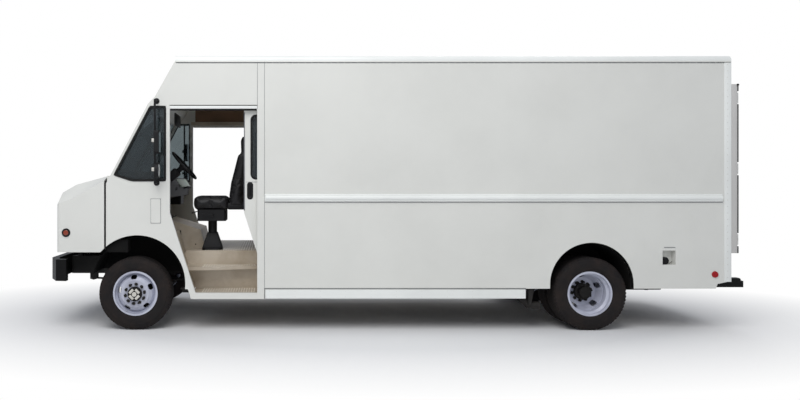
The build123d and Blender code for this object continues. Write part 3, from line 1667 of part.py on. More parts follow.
for name, side in sides:
    pane_middle = (door_x + door_length / 2, pane_bottom + pane_height / 2)
    pane_width = door_length - 2 * pane_front
    with BuildPart() as cab_door:
        with BuildSketch(upright(side, door_inner_y, door_outer_y)):
            with BuildLine():
                Polyline(
                    (door_x, door_head_z),
                    (door_x, door_kink_z),
                    (door_x + door_slope * (door_kink_z - door_bottom_z), door_bottom_z),
                    (door_x + door_length, door_bottom_z),
                    (door_x + door_length, door_head_z),
                    close=True,
                )
            make_face()
            with Locations(pane_middle):
                RectangleRounded(pane_width, pane_height, pane_corner, mode=Mode.SUBTRACT)
        extrude(amount=door_thickness)
        with BuildSketch(upright(side, door_outer_y - pull_depth, door_outer_y)):
            with Locations((door_x + pull_setback, pull_z)):
                Ellipse(pull_width / 2, pull_height / 2)
        extrude(amount=pull_depth, mode=Mode.SUBTRACT)
        for share in (stem_share, 1 - stem_share):
            stem_x = door_x + share * door_length
            roller_z = track_bottom_z + track_metal + seat_gap
            with BuildSketch(Plane.YZ.offset(stem_x - roller_width / 2)):
                with Locations((side * track_middle_y, (door_head_z + roller_z) / 2)):
                    Rectangle(stem_width, roller_z - door_head_z)
                with Locations((side * track_middle_y, roller_z + roller_height / 2)):
                    Rectangle(roller_width, roller_height)
            extrude(amount=roller_width)
    save(cab_door, f"cab_door_{name}")

    with BuildPart() as door_pane:
        glass_y = door_inner_y + (door_thickness - door_glass) / 2
        with BuildSketch(upright(side, glass_y, glass_y + door_glass)):
            with Locations(pane_middle):
                RectangleRounded(pane_width, pane_height, pane_corner)
        extrude(amount=door_glass)
    save(door_pane, f"door_glass_{name}")

# Bulkhead behind the seat with a walk-through opening
bulkhead_thickness = 40
walkway_half_width = 350
walkway_drop = 368
walkway_top_z = roof_seam_z - walkway_drop

with BuildPart() as bulkhead:
    with BuildSketch(Plane.YZ.offset(cab_rear_x - door_post / 2)):
        with BuildLine():
            Polyline(
                (0, walkway_top_z),
                (walkway_half_width, walkway_top_z),
                (walkway_half_width, floor_top_z),
                (deck_half_at_door, floor_top_z),
                (deck_half_at_door, roof_top_z - roof_skin),
                (0, roof_top_z - roof_skin),
                close=True,
            )
        make_face()
        mirror(about=Plane.YZ)
    extrude(amount=bulkhead_thickness)
save(bulkhead, "bulkhead")

# Rear portal: posts, header and a low sill panel round the rear doorway
portal_post = 60
portal_drop = 298
portal_head_z = roof_seam_z - portal_drop
portal_bottom_z = 620
hinge_radius = 12
hinge_pin_radius = 6
hinge_height = 120
hinge_inset = 42
hinge_stand = 20
rear_post_inset = 8
rear_post_width = 42
rear_post_depth = 75
hinge_y = half_width - hinge_inset
hinge_shares = (0.08, 0.5, 0.92)
hinge_gap = 0.3
rear_door_gap = 6
rear_door_thickness = 50
rear_door_sill_gap = 12
rear_door_lap = 33
rear_door_bottom_z = floor_top_z + rear_door_sill_gap
rear_door_top_z = portal_head_z + rear_door_lap
rear_door_meeting = 7
rear_door_inset = 80
rear_door_outer_y = half_width - rear_door_inset
rear_post_x = body_rear_x + rear_post_depth
hinge_x = rear_post_x + hinge_stand
rear_door_height = rear_door_top_z - rear_door_bottom_z
hinge_levels = [rear_door_bottom_z + share * rear_door_height for share in hinge_shares]

with BuildPart() as rear_portal:
    with BuildSketch(Plane.YZ.offset(body_rear_x - wall)):
        with Locations((0, (portal_bottom_z + roof_seam_z) / 2)):
            Rectangle(2 * inner_half, roof_seam_z - portal_bottom_z)
        with Locations((0, (floor_top_z + portal_head_z) / 2)):
            Rectangle(
                2 * (inner_half - portal_post),
                portal_head_z - floor_top_z,
                mode=Mode.SUBTRACT,
            )
        for side in (-1, 1):
            with Locations((side * rail_outer_y, rail_bottom_z)):
                Rectangle(2 * rail_flange, 2 * rail_depth + rail_web, mode=Mode.SUBTRACT)
    extrude(amount=wall)
    for side in (-1, 1):
        with BuildSketch(Plane.XY.offset(rear_door_bottom_z)):
            post_y = half_width - rear_post_inset - rear_post_width / 2
            with Locations((body_rear_x + rear_post_depth / 2, side * post_y)):
                Rectangle(rear_post_depth, rear_post_width)
        extrude(amount=rear_door_height)
        for level_z in hinge_levels:
            for turn in (-1, 1):
                knuckle_z = level_z + turn * hinge_height / 3
                with BuildSketch(Plane.XY.offset(knuckle_z - hinge_height / 6)):
                    with Locations((hinge_x, side * hinge_y)):
                        Circle(hinge_radius)
                    with Locations(((rear_post_x + hinge_x) / 2, side * hinge_y)):
                        Rectangle(hinge_stand, hinge_radius)
                extrude(amount=hinge_height / 3)
            with BuildSketch(Plane.XY.offset(level_z - hinge_height / 2)):
                with Locations((hinge_x, side * hinge_y)):
                    Circle(hinge_pin_radius)
            extrude(amount=hinge_height)
save(rear_portal, "rear_portal")

# Rear doors: two tall panels standing proud of the body, hinged at their outer edges
lock_bar_radius = 14
lock_bar_inset = 90
lock_bar_stand = 8
hinge_strap = 120
hinge_foot = 60
strap_foot_y = hinge_y - hinge_strap + hinge_foot / 2
door_rear_x = body_rear_x + rear_door_gap + rear_door_thickness

for name, side in sides:
    with BuildPart() as rear_door:
        door_face_x = body_rear_x + rear_door_gap
        with BuildSketch(Plane.YZ.offset(door_face_x)):
            with BuildLine():
                Polyline(
                    (side * rear_door_meeting, rear_door_bottom_z),
                    (side * rear_door_meeting, rear_door_top_z),
                    (side * rear_door_outer_y, rear_door_top_z),
                    (side * rear_door_outer_y, rear_door_bottom_z),
                    close=True,
                )
            make_face()
        extrude(amount=rear_door_thickness)
        bar_x = door_face_x + rear_door_thickness + lock_bar_radius + lock_bar_stand
        bar_y = side * (rear_door_meeting + lock_bar_inset)
        with BuildSketch(Plane.XY.offset(rear_door_bottom_z)):
            with Locations((bar_x, bar_y)):
                Circle(lock_bar_radius)
        extrude(amount=rear_door_top_z - rear_door_bottom_z)
        for level_z in hinge_levels:
            with BuildSketch(Plane.XY.offset(level_z - hinge_height / 6 + hinge_gap)):
                with Locations(((bar_x + door_face_x + rear_door_thickness) / 2, bar_y)):
                    Rectangle(bar_x - door_face_x - rear_door_thickness, 2 * lock_bar_radius)
                with Locations((hinge_x, side * hinge_y)):
                    Circle(hinge_radius)
                with Locations((hinge_x, side * (hinge_y - hinge_strap / 2))):
                    Rectangle(hinge_radius, hinge_strap)
                with Locations(((door_rear_x + hinge_x) / 2, side * strap_foot_y)):
                    Rectangle(hinge_x - door_rear_x + hinge_radius, hinge_foot)
                with Locations((hinge_x, side * hinge_y)):
                    Circle(hinge_pin_radius + running_fit, mode=Mode.SUBTRACT)
            extrude(amount=hinge_height / 3 - 2 * hinge_gap)
    save(rear_door, f"rear_door_{name}")

# Rear lamps: three round lamps a side on the sill panel, and one on each body side
lamp_radius = 50
lamp_depth = 20
lamp_row_z = 740
lamp_row_insets = (500, 360, 220)
side_lamp_ahead_of_rear = 189
side_lamp_x = body_rear_x - side_lamp_ahead_of_rear
side_lamp_z = 655
side_lamp_radius = 38

with BuildPart() as rear_lamps:
    with BuildSketch(Plane.YZ.offset(body_rear_x)):
        for side in (-1, 1):
            for lamp_row_inset in lamp_row_insets:
                with Locations((side * (half_width - lamp_row_inset), lamp_row_z)):
                    Circle(lamp_radius)
    extrude(amount=lamp_depth, taper=10)
    with BuildSketch(upright(-1, half_width, half_width + marker_height)) as side_lamp:
        with Locations((side_lamp_x, side_lamp_z)):
            Circle(side_lamp_radius)
    mirror(extrude(amount=marker_height, taper=20), about=Plane.XZ)
save(rear_lamps, "rear_lamps")

# Steering wheel: a round rim on three spokes, tilted towards the driver
seat_inset = 600
seat_y = half_width - seat_inset
steering_radius = 225
rim_tube_radius = 15
rim_tube_sides = 10
steering_tilt = 48.6
steering_behind_cowl = 828
steering_x = cowl_x + steering_behind_cowl
steering_z = 1928
column_radius = 32
column_length = 330
boss_radius = 45
boss_depth = 50
spoke_width = 28
spoke_thickness = 12
column_gap = 0.5
steering_normal = (sin(radians(steering_tilt)), 0, cos(radians(steering_tilt)))
wheel_plane = Plane(
    origin=(steering_x, -seat_y, steering_z), x_dir=(0, 1, 0), z_dir=steering_normal
)

with BuildPart() as steering_wheel:
    with BuildSketch(Plane(origin=wheel_plane.origin, x_dir=(0, 1, 0), z_dir=wheel_plane.y_dir)):
        with Locations((steering_radius - rim_tube_radius, 0)):
            RegularPolygon(rim_tube_radius, rim_tube_sides)
    revolve(axis=Axis(wheel_plane.origin, wheel_plane.z_dir))
    with BuildSketch(wheel_plane.offset(-boss_depth)):
        Circle(boss_radius)
    extrude(amount=boss_depth)
    with BuildSketch(wheel_plane.offset(-spoke_thickness)):
        with PolarLocations((steering_radius - rim_tube_radius) / 2, 3, start_angle=90):
            Rectangle(steering_radius - rim_tube_radius, spoke_width)
    extrude(amount=spoke_thickness)
save(steering_wheel, "steering_wheel")

# Dashboard: a moulded shelf behind the windshield, full width between the cab sides,
# with the steering column standing out of it
dash_front_x = cowl_x + cowl_shelf
dash_top_z = 1780
dash_brow_behind_cowl = 640
dash_brow_x = cowl_x + dash_brow_behind_cowl
dash_face_behind_cowl = 700
dash_face_x = cowl_x + dash_face_behind_cowl
dash_face_z = 1690
dash_low_behind_cowl = 670
dash_low_x = cowl_x + dash_low_behind_cowl
dash_low_z = 1540
dash_foot_behind_cowl = 450
dash_foot_x = cowl_x + dash_foot_behind_cowl
dash_foot_z = 1470
dash_gap = 20
pedal_reach = 110
pedal_z = 1085
pedal_arm = 16
pedal_pad = 95
pedal_table = (
    # middle y, pad width
    (-430, 60),
    (-530, 110),
)
heater_length = 190
heater_width = 300
heater_drop = 120
heater_corner = 20
heater_y = 430
dash_half = inner_half - dash_gap

with BuildPart() as dashboard:
    with BuildSketch(Plane.XZ.offset(-dash_half)):
        with BuildLine():
            Polyline(
                (dash_front_x, dash_foot_z),
                (dash_front_x, dash_top_z),
                (dash_brow_x, dash_top_z),
                (dash_face_x, dash_face_z),
                (dash_low_x, dash_low_z),
                (dash_foot_x, dash_foot_z),
                close=True,
            )
        make_face()
    extrude(amount=2 * dash_half)
    with BuildSketch(wheel_plane.offset(-boss_depth - column_gap)):
        Circle(column_radius)
    extrude(amount=-column_length)
    for pedal_y, pedal_width in pedal_table:
        with BuildSketch(Plane.XZ.offset(-pedal_y - pedal_arm / 2)):
            with BuildLine():
                pad_x = dash_foot_x + pedal_reach
                Polyline(
                    (dash_foot_x - pedal_arm, dash_foot_z),
                    (pad_x, pedal_z),
                    (pad_x + pedal_arm, pedal_z),
                    (dash_foot_x, dash_foot_z),
                    (dash_foot_x, dash_foot_z + pedal_arm),
                    (dash_foot_x - pedal_arm, dash_foot_z + pedal_arm),
                    close=True,
                )
            make_face()
        extrude(amount=pedal_arm)
        with BuildSketch(Plane.XZ.offset(-pedal_y - pedal_width / 2)):
            with BuildLine():
                Polyline(
                    (pad_x, pedal_z),
                    (pad_x + pedal_arm, pedal_z),
                    (pad_x + pedal_arm + pedal_pad / 2, pedal_z - pedal_pad),
                    (pad_x + pedal_pad / 2, pedal_z - pedal_pad),
                    close=True,
                )
            make_face()
        extrude(amount=pedal_width)
    with BuildSketch(Plane.XY.offset(dash_low_z)):
        with Locations((dash_low_x - heater_length / 2, heater_y)):
            RectangleRounded(heater_length, heater_width, heater_corner)
    extrude(amount=-heater_drop)
save(dashboard, "dashboard")

# Driver's seat: a pedestal, a cushion and a high back with its headrest
seat_half = 240
cushion_front_behind_cowl = 952
cushion_front_x = cowl_x + cushion_front_behind_cowl
cushion_rear_behind_cowl = 1403
cushion_rear_x = cowl_x + cushion_rear_behind_cowl
cushion_bottom_z = 1388
cushion_top_z = 1545
back_lean = 125
seat_soft_radius = 60
pedestal_foot_half = 124
pedestal_waist_half = 55
pedestal_behind_cowl = 1180
pedestal_x = cowl_x + pedestal_behind_cowl
pedestal_foot_height = 30
pedestal_top_z = 1250
pan_front_behind_cowl = 1010
pan_front_x = cowl_x + pan_front_behind_cowl
pan_rear_behind_cowl = 1354
pan_rear_x = cowl_x + pan_rear_behind_cowl

with BuildPart() as seat_base:
    with BuildSketch(Plane.XY.offset(floor_top_z)):
        with Locations((pedestal_x, -seat_y)):
            RectangleRounded(2 * pedestal_foot_half, 2 * pedestal_foot_half, pedestal_waist_half)
    extrude(amount=pedestal_foot_height)
    with BuildSketch(Plane.XY.offset(floor_top_z + pedestal_foot_height)):
        with Locations((pedestal_x, -seat_y)):
            Circle(pedestal_waist_half)
    extrude(amount=pedestal_top_z - floor_top_z - pedestal_foot_height)
    with BuildSketch(Plane.XY.offset(pedestal_top_z)):
        with Locations(((pan_front_x + pan_rear_x) / 2, -seat_y)):
            RectangleRounded(pan_rear_x - pan_front_x, 2 * seat_half - seat_soft_radius, pedestal_foot_height)
    extrude(amount=cushion_bottom_z - pedestal_top_z)
save(seat_base, "seat_base")

with BuildPart() as seat_cushion:
    with BuildSketch(Plane.XY.offset(cushion_bottom_z + seat_gap)):
        with Locations(((cushion_front_x + cushion_rear_x) / 2, -seat_y)):
            RectangleRounded(cushion_rear_x - cushion_front_x, 2 * seat_half, seat_soft_radius)
    extrude(amount=cushion_top_z - cushion_bottom_z - seat_gap)
    fillet(seat_cushion.edges().group_by(Axis.Z)[-1], radius=seat_soft_radius / 2)
save(seat_cushion, "seat_cushion")

back_foot = 15
back_outline = (
    # share of the lean from the cushion's rear edge, height, thickness ahead and behind
    (0.0, 1440, -back_foot, 140),
    (0.0, 1560, -back_foot, 150),
    (0.1, 1705, -5, 150),
    (0.85, 2047, 0, 110),
    (1.0, 2070, 10, 100),
    (1.0, 2100, 20, 95),
    (1.0, 2300, 10, 90),
)

with BuildPart() as seat_back:
    back_half = seat_half - seat_soft_radius / 3
    with BuildSketch(Plane.XZ.offset(seat_y - back_half)):
        with BuildLine():
            base_x = cushion_rear_x + seat_gap + back_foot
            ahead = [(base_x + row[0] * back_lean + row[2], row[1]) for row in back_outline]
            behind = [(base_x + row[0] * back_lean + row[3], row[1]) for row in back_outline]
            Polyline(*ahead, *reversed(behind), close=True)
        make_face()
    extrude(amount=2 * back_half)
    for side in (-1, 1):
        with BuildSketch(Plane.YZ.offset(cushion_rear_x - overrun)):
            with Locations((-seat_y + side * back_half, back_outline[-1][1])):
                Rectangle(back_half, 2 * (back_outline[-1][1] - back_outline[-2][1]))
        extrude(amount=2 * back_lean + back_outline[0][3], mode=Mode.SUBTRACT)
save(seat_back, "seat_back")

# Mirrors: a tall tube on two arms, with a flat head above and a round one below
mirror_tube_radius = 12
mirror_tube_behind_cowl = 585
mirror_tube_x = cowl_x + mirror_tube_behind_cowl
mirror_reach = 130
mirror_tube_y = half_width + mirror_reach
mirror_top_rise = 27
mirror_top_z = header_bottom_z + mirror_top_rise
mirror_bottom_z = 1712
mirror_head_height = 255
mirror_head_width = 190
mirror_head_depth = 46
mirror_head_z = 2175
convex_radius = 88
convex_z = 1855

with BuildPart() as mirrors:
    for side in (-1, 1):
        with BuildSketch(Plane.XY.offset(mirror_bottom_z)):
            with Locations((mirror_tube_x, side * mirror_tube_y)):
                Circle(mirror_tube_radius)
        extrude(amount=mirror_top_z - mirror_bottom_z)
        for arm_z in (mirror_bottom_z, mirror_top_z):
            with BuildSketch(upright(side, half_width, mirror_tube_y)):
                with Locations((mirror_tube_x, arm_z)):
                    Circle(mirror_tube_radius)
            extrude(amount=mirror_tube_y - half_width)
        head_x = mirror_tube_x + mirror_tube_radius / 2
        with BuildSketch(Plane.YZ.offset(head_x)):
            with Locations((side * mirror_tube_y, mirror_head_z)):
                RectangleRounded(mirror_head_width, mirror_head_height, mirror_head_depth / 2)
            with Locations((side * mirror_tube_y, convex_z)):
                Circle(convex_radius)
        extrude(amount=mirror_head_depth)
save(mirrors, "mirrors")
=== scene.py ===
import math

import bpy
from mathutils import Matrix, Vector


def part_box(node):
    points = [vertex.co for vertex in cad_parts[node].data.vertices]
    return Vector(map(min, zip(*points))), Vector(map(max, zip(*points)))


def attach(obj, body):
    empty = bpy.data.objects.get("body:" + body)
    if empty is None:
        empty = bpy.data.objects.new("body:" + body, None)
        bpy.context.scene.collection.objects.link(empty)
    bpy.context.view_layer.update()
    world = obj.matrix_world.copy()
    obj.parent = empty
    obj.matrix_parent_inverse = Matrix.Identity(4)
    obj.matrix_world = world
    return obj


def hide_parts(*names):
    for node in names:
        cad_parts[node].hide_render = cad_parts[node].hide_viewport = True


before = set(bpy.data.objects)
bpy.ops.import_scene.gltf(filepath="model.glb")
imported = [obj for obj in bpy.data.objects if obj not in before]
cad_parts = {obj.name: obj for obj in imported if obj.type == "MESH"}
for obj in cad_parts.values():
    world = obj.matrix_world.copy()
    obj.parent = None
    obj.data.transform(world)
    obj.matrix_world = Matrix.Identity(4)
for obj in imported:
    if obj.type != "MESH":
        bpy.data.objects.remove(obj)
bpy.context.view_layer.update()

# Camera: level, square to the driver's side and a little ahead of the middle of the van,
# as in the photograph. Its vanishing point lies left of the picture's centre.
camera_place = (-1.4535, -9.0, 1.699)
sensor_width = 36.0
picture_width = 800
focal_pixels = 676
vanishing_right = 130
vanishing_down = -16
bpy.ops.object.camera_add(location=camera_place, rotation=(math.pi / 2, 0, 0))
camera = bpy.context.object
camera.data.sensor_width = sensor_width
camera.data.lens = focal_pixels / picture_width * sensor_width
camera.data.shift_x = vanishing_right / picture_width
camera.data.shift_y = vanishing_down / picture_width
bpy.context.scene.camera = camera
bpy.context.scene.view_settings.view_transform = "Standard"


# Floor and daylight: a wide pale floor that fades to white, soft light from the whole sky and
# two large lamps, the stronger one high on the driver's side, as on an open yard.
def linear(colour):
    """A hex sRGB colour as linear RGBA."""
    parts = [int(colour[i:i + 2], 16) / 255 for i in (0, 2, 4)]
    return [p / 12.92 if p <= 0.04045 else ((p + 0.055) / 1.055) ** 2.4 for p in parts] + [1.0]


def add_node(tree, kind, inputs=None, **settings):
    """One node in a tree, with its settings, and its inputs as values or as the sockets that feed them."""
    new = tree.nodes.new(kind)
    for key, value in settings.items():
        setattr(new, key, value)
    for key, value in (inputs or {}).items():
        if isinstance(value, bpy.types.NodeSocket):
            tree.links.new(value, new.inputs[key])
        else:
            new.inputs[key].default_value = value
    return new


floor_size = 60
floor_colour = "e6e6e6"
fade_stretch = (0.16, 0.3, 0)
fade_start = 0.62
fade_end = 1.1
sky_colour = "f2f6ff"
sky_strength = 0.56
white = (1, 1, 1, 1)
bpy.ops.mesh.primitive_plane_add(size=floor_size)
ground = bpy.context.object
ground.name = "ground"
ground_paint = bpy.data.materials.new("pale_floor")
ground_paint.use_nodes = True
tree = ground_paint.node_tree
tree.nodes.clear()
place = add_node(tree, "ShaderNodeNewGeometry")
reach = add_node(tree, "ShaderNodeVectorMath", {
    0: place.outputs["Position"], 1: fade_stretch,
}, operation="MULTIPLY")
far = add_node(tree, "ShaderNodeVectorMath", {0: reach.outputs[0]}, operation="LENGTH")
fade = add_node(tree, "ShaderNodeMapRange", {
    "Value": far.outputs["Value"], "From Min": fade_start, "From Max": fade_end,
})
matt = add_node(tree, "ShaderNodeBsdfDiffuse", {"Color": linear(floor_colour)})
lit = add_node(tree, "ShaderNodeEmission", {"Color": white})
seen = add_node(tree, "ShaderNodeLightPath")
direct = add_node(tree, "ShaderNodeMath", {
    0: seen.outputs["Is Camera Ray"], 1: fade.outputs[0],
}, operation="MULTIPLY")
mix = add_node(tree, "ShaderNodeMixShader", {0: direct.outputs[0], 1: matt.outputs[0], 2: lit.outputs[0]})
add_node(tree, "ShaderNodeOutputMaterial", {"Surface": mix.outputs[0]})
ground.data.materials.append(ground_paint)

sky = bpy.data.worlds.new("sky")
sky.use_nodes = True
tree = sky.node_tree
tree.nodes.clear()
seen = add_node(tree, "ShaderNodeLightPath")
clear = add_node(tree, "ShaderNodeMath", {
    0: seen.outputs["Is Camera Ray"], 1: seen.outputs["Is Transmission Ray"],
}, operation="MAXIMUM")
ambient = add_node(tree, "ShaderNodeBackground", {"Color": linear(sky_colour), "Strength": sky_strength})
backdrop = add_node(tree, "ShaderNodeBackground", {"Color": white, "Strength": 1.0})
mix = add_node(tree, "ShaderNodeMixShader", {
    0: clear.outputs[0], 1: ambient.outputs[0], 2: backdrop.outputs[0],
})
add_node(tree, "ShaderNodeOutputWorld", {"Surface": mix.outputs[0]})
bpy.context.scene.world = sky

lamp_table = (
    # name, place, aimed at, size, power
    ("sky_lamp", (-3.0, -7.5, 9.0), (0.0, 0.0, 1.2), 7.0, 640),
    ("fill_lamp", (5.0, 8.0, 7.0), (0.0, 0.0, 1.2), 7.0, 300),
)
for name, place, target, size, power in lamp_table:
    bpy.ops.object.light_add(type="AREA", location=place)
    lamp = bpy.context.object
    lamp.name = name
    lamp.data.size = size
    lamp.data.energy = power
    lamp.rotation_euler = (Vector(target) - Vector(place)).to_track_quat("-Z", "Y").to_euler()


# Ladder frame: pressed C rails with cold-riveted crossmembers, dipped in satin black chassis
# paint that dulls and picks up road dust.
def finish(name, colour, worn, roughness, grain_mm, depth_mm, patch_mm=400, metallic=0.0, **sockets):
    """A material whose colour drifts to a worn tone in soft patches over a fine raised grain."""
    paint = bpy.data.materials.new(name)
    paint.use_nodes = True
    tree = paint.node_tree
    shader = tree.nodes["Principled BSDF"]
    shader.inputs["Metallic"].default_value = metallic
    for key, value in sockets.items():
        shader.inputs[key.replace("_", " ")].default_value = value
    where = add_node(tree, "ShaderNodeTexCoord")
    patch = add_node(tree, "ShaderNodeTexNoise", {
        "Vector": where.outputs["Object"], "Scale": 1000 / patch_mm, "Detail": 4, "Roughness": 0.6,
    })
    wear = add_node(tree, "ShaderNodeMapRange", {"Value": patch.outputs[0], "From Min": 0.4, "From Max": 0.7})
    tone = add_node(tree, "ShaderNodeMix", data_type="RGBA")
    tree.links.new(wear.outputs[0], tone.inputs["Factor"])
    tone.inputs[6].default_value = linear(colour)
    tone.inputs[7].default_value = linear(worn)
    tree.links.new(tone.outputs[2], shader.inputs["Base Color"])
    rough = add_node(tree, "ShaderNodeMapRange", {
        "Value": patch.outputs[0], "To Min": roughness * 0.85, "To Max": roughness * 1.2,
    })
    tree.links.new(rough.outputs[0], shader.inputs["Roughness"])
    grain = add_node(tree, "ShaderNodeTexNoise", {
        "Vector": where.outputs["Object"], "Scale": 1000 / grain_mm, "Detail": 3,
    })
    bump = add_node(tree, "ShaderNodeBump", {"Height": grain.outputs[0], "Distance": depth_mm / 1000})
    tree.links.new(bump.outputs[0], shader.inputs["Normal"])
    return paint


def dress(material, *nodes):
    """The CAD nodes take a material."""
    for name in nodes:
        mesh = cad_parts[name].data
        mesh.materials.clear()
        mesh.materials.append(material)


def alone():
    """Leaves edit mode with nothing selected, so that the next operator acts only on what it adds."""
    if bpy.context.mode != "OBJECT":
        bpy.ops.object.mode_set(mode="OBJECT")
    bpy.ops.object.select_all(action="DESELECT")


def only(piece):
    """Makes one piece the selected and active one."""
    alone()
    piece.select_set(True)
    bpy.context.view_layer.objects.active = piece
    return piece


def modify(piece, kind, **settings):
    """Adds a modifier to a piece and applies it."""
    only(piece)
    modifier = piece.modifiers.new(kind.lower(), kind)
    for key, value in settings.items():
        setattr(modifier, key, value)
    bpy.ops.object.modifier_apply(modifier=modifier.name)
    return piece


def settle(piece):
    """Puts a piece's place, turn and scale into its mesh."""
    only(piece)
    bpy.ops.object.transform_apply(location=True, rotation=True, scale=True)
    return piece


def outward(piece):
    """Points every face of a closed piece outwards."""
    only(piece)
    bpy.ops.object.mode_set(mode="EDIT")
    bpy.ops.mesh.select_all(action="SELECT")
    bpy.ops.mesh.normals_make_consistent(inside=False)
    bpy.ops.object.mode_set(mode="OBJECT")
    return piece


def complete(piece, name, body, material, smooth=35):
    """Ends a piece: named, painted, shaded smooth below an angle and riding on its body."""
    settle(piece)
    piece.name = name
    piece.data.name = name
    piece.data.materials.clear()
    piece.data.materials.append(material)
    bpy.ops.object.shade_smooth_by_angle(angle=math.radians(smooth))
    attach(piece, body)
    return piece


def twin(piece):
    """A copy of a piece, with its own mesh."""
    copy = piece.copy()
    copy.data = piece.data.copy()
    bpy.context.collection.objects.link(copy)
    return copy


def joined(*pieces):
    """Several pieces as one."""
    alone()
    for piece in pieces:
        piece.select_set(True)
    bpy.context.view_layer.objects.active = pieces[0]
    if len(pieces) > 1:
        bpy.ops.object.join()
    return bpy.context.object


def repeat(piece, places):
    """Copies a piece to every place, a point or a matrix, as one piece."""
    settle(piece)
    copies = []
    for place in places:
        copy = twin(piece)
        copy.matrix_world = place if isinstance(place, Matrix) else Matrix.Translation(place)
        copies.append(copy)
    bpy.data.objects.remove(piece)
    return joined(*copies)


def chain(points, closed=False):
    """A row of edges through points, left in edit mode with all of it selected."""
    alone()
    points = [Vector(point) for point in points]
    bpy.ops.mesh.primitive_plane_add(size=0.01, location=points[0])
    bpy.ops.object.mode_set(mode="EDIT")
    bpy.ops.mesh.merge(type="CENTER")
    for start, end in zip(points, points[1:]):
        bpy.ops.mesh.extrude_vertices_move(TRANSFORM_OT_translate={"value": end - start})
    bpy.ops.mesh.select_all(action="SELECT")
    if closed:
        bpy.ops.mesh.edge_face_add()
    return bpy.context.object


def turned(outline, centre, along, out, steps=32):
    """Turned form: an outline of (distance along, radius) spun round the axis through a centre."""
    centre, along, out = Vector(centre), Vector(along), Vector(out)
    piece = chain([centre + along * a + out * r for a, r in outline])
    bpy.ops.mesh.spin(steps=steps, angle=math.tau, center=centre, axis=along)
    bpy.ops.mesh.select_all(action="SELECT")
    bpy.ops.mesh.remove_doubles(threshold=0.00002)
    bpy.ops.mesh.normals_make_consistent(inside=False)
    bpy.ops.object.mode_set(mode="OBJECT")
    return piece


def rod(points, radius, bend=0.0, sides=2):
    """Round bar or pipe through points, its corners bent."""
    piece = chain(points)
    if bend:
        bpy.ops.mesh.bevel(affect="VERTICES", offset=bend, segments=5)
    bpy.ops.object.mode_set(mode="OBJECT")
    bpy.ops.object.convert(target="CURVE")
    piece = bpy.context.object
    piece.data.bevel_depth = radius
    piece.data.bevel_resolution = sides
    piece.data.use_fill_caps = True
    bpy.ops.object.convert(target="MESH")
    return bpy.context.object


def block(middle, size, bevel=0.003):
    """A block with rounded edges."""
    alone()
    bpy.ops.mesh.primitive_cube_add(size=1, location=middle)
    piece = bpy.context.object
    piece.scale = size
    settle(piece)
    return modify(piece, "BEVEL", width=bevel, segments=2)


def bolt_head(radius, height, point):
    """A hexagon head on a round washer face, its foot at the origin and its top towards a point."""
    alone()
    bpy.ops.mesh.primitive_cylinder_add(vertices=6, radius=radius, depth=height, location=(0, 0, height / 2))
    head = modify(bpy.context.object, "BEVEL", width=radius * 0.12, segments=1)
    bpy.ops.mesh.primitive_cylinder_add(
        vertices=16, radius=radius * 1.25, depth=height * 0.2, location=(0, 0, height * 0.1)
    )
    piece = joined(head, bpy.context.object)
    piece.rotation_euler = Vector(point).to_track_quat("Z", "Y").to_euler()
    return settle(piece)


left, right = -1, 1
sides = (("left", left), ("right", right))
chassis_black = finish("satin_chassis_paint", "121110", "221f1b", 0.55, 2, 0.1, Specular_IOR_Level=0.3)
dress(chassis_black, "frame", "rear_axle", "front_axle", "leaf_springs", "shock_absorbers", "driveshaft",
      "fuel_tank", "tie_rod", "knuckle_left", "knuckle_right")
rail_front_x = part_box("frame")[0][0]
rail_outer = 0.432
rail_bolt_radius = 0.012
rail_bolt_height = 0.01
rail_bolt_first = 0.3
rail_bolt_pitch = 0.55
rail_bolt_stations = [rail_front_x + rail_bolt_first + rail_bolt_pitch * i for i in range(14)]
rail_bolt_levels = (0.62, 0.68, 0.74)
for name, side in sides:
    bolts = repeat(bolt_head(rail_bolt_radius, rail_bolt_height, (0, side, 0)), [
        (x, side * rail_outer, z) for x in rail_bolt_stations for z in rail_bolt_levels
    ])
    complete(bolts, f"rail_bolts_{name}", "root", chassis_black)

# Spring fittings: forged U-bolts over the springs with a plate under each axle, and the cast
# steering box on the left rail ahead of them.
front_axle_low, front_axle_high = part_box("front_axle")
front_axle_x = (front_axle_low[0] + front_axle_high[0]) / 2
wheel_low, wheel_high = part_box("tyres_rear_left")
rear_axle_x = (wheel_low[0] + wheel_high[0]) / 2
axle_z = (wheel_low[2] + wheel_high[2]) / 2
fitting_steel = finish("phosphated_steel", "262422", "3a3632", 0.5, 2, 0.05, metallic=0.5)
spring_y = 0.394
spring_half = 0.046
u_bolt_radius = 0.009
u_bolt_bend = 0.02
u_bolt_spread = 0.06
clip_plate_length = 0.17
clip_plate_thickness = 0.018
u_bolt_table = (
    # place, axle x, bottom, top
    ("front", front_axle_x, axle_z - 0.09, axle_z + 0.09),
    ("rear", rear_axle_x, axle_z - 0.07, axle_z + 0.135),
)
for place, x, low, high in u_bolt_table:
    for name, side in sides:
        inner, outer = side * (spring_y - spring_half), side * (spring_y + spring_half)
        hoops = [
            rod([(leg_x, inner, low), (leg_x, inner, high), (leg_x, outer, high), (leg_x, outer, low)],
                u_bolt_radius, bend=u_bolt_bend)
            for leg_x in (x - u_bolt_spread, x + u_bolt_spread)
        ]
        plate = block((x, side * spring_y, low + 0.012),
                      (clip_plate_length, 2 * spring_half + 0.03, clip_plate_thickness))
        complete(joined(*hoops, plate), f"u_bolts_{place}_{name}", "root", fitting_steel)
box_x = front_axle_x - 0.42
box_y = -0.50
steering_box = block((box_x, box_y + 0.01, 0.64), (0.17, 0.11, 0.15), 0.02)
alone()
bpy.ops.mesh.primitive_cylinder_add(vertices=28, radius=0.062, depth=0.16, location=(box_x, box_y, 0.6))
sector = modify(bpy.context.object, "BEVEL", width=0.01, segments=2, limit_method="ANGLE")
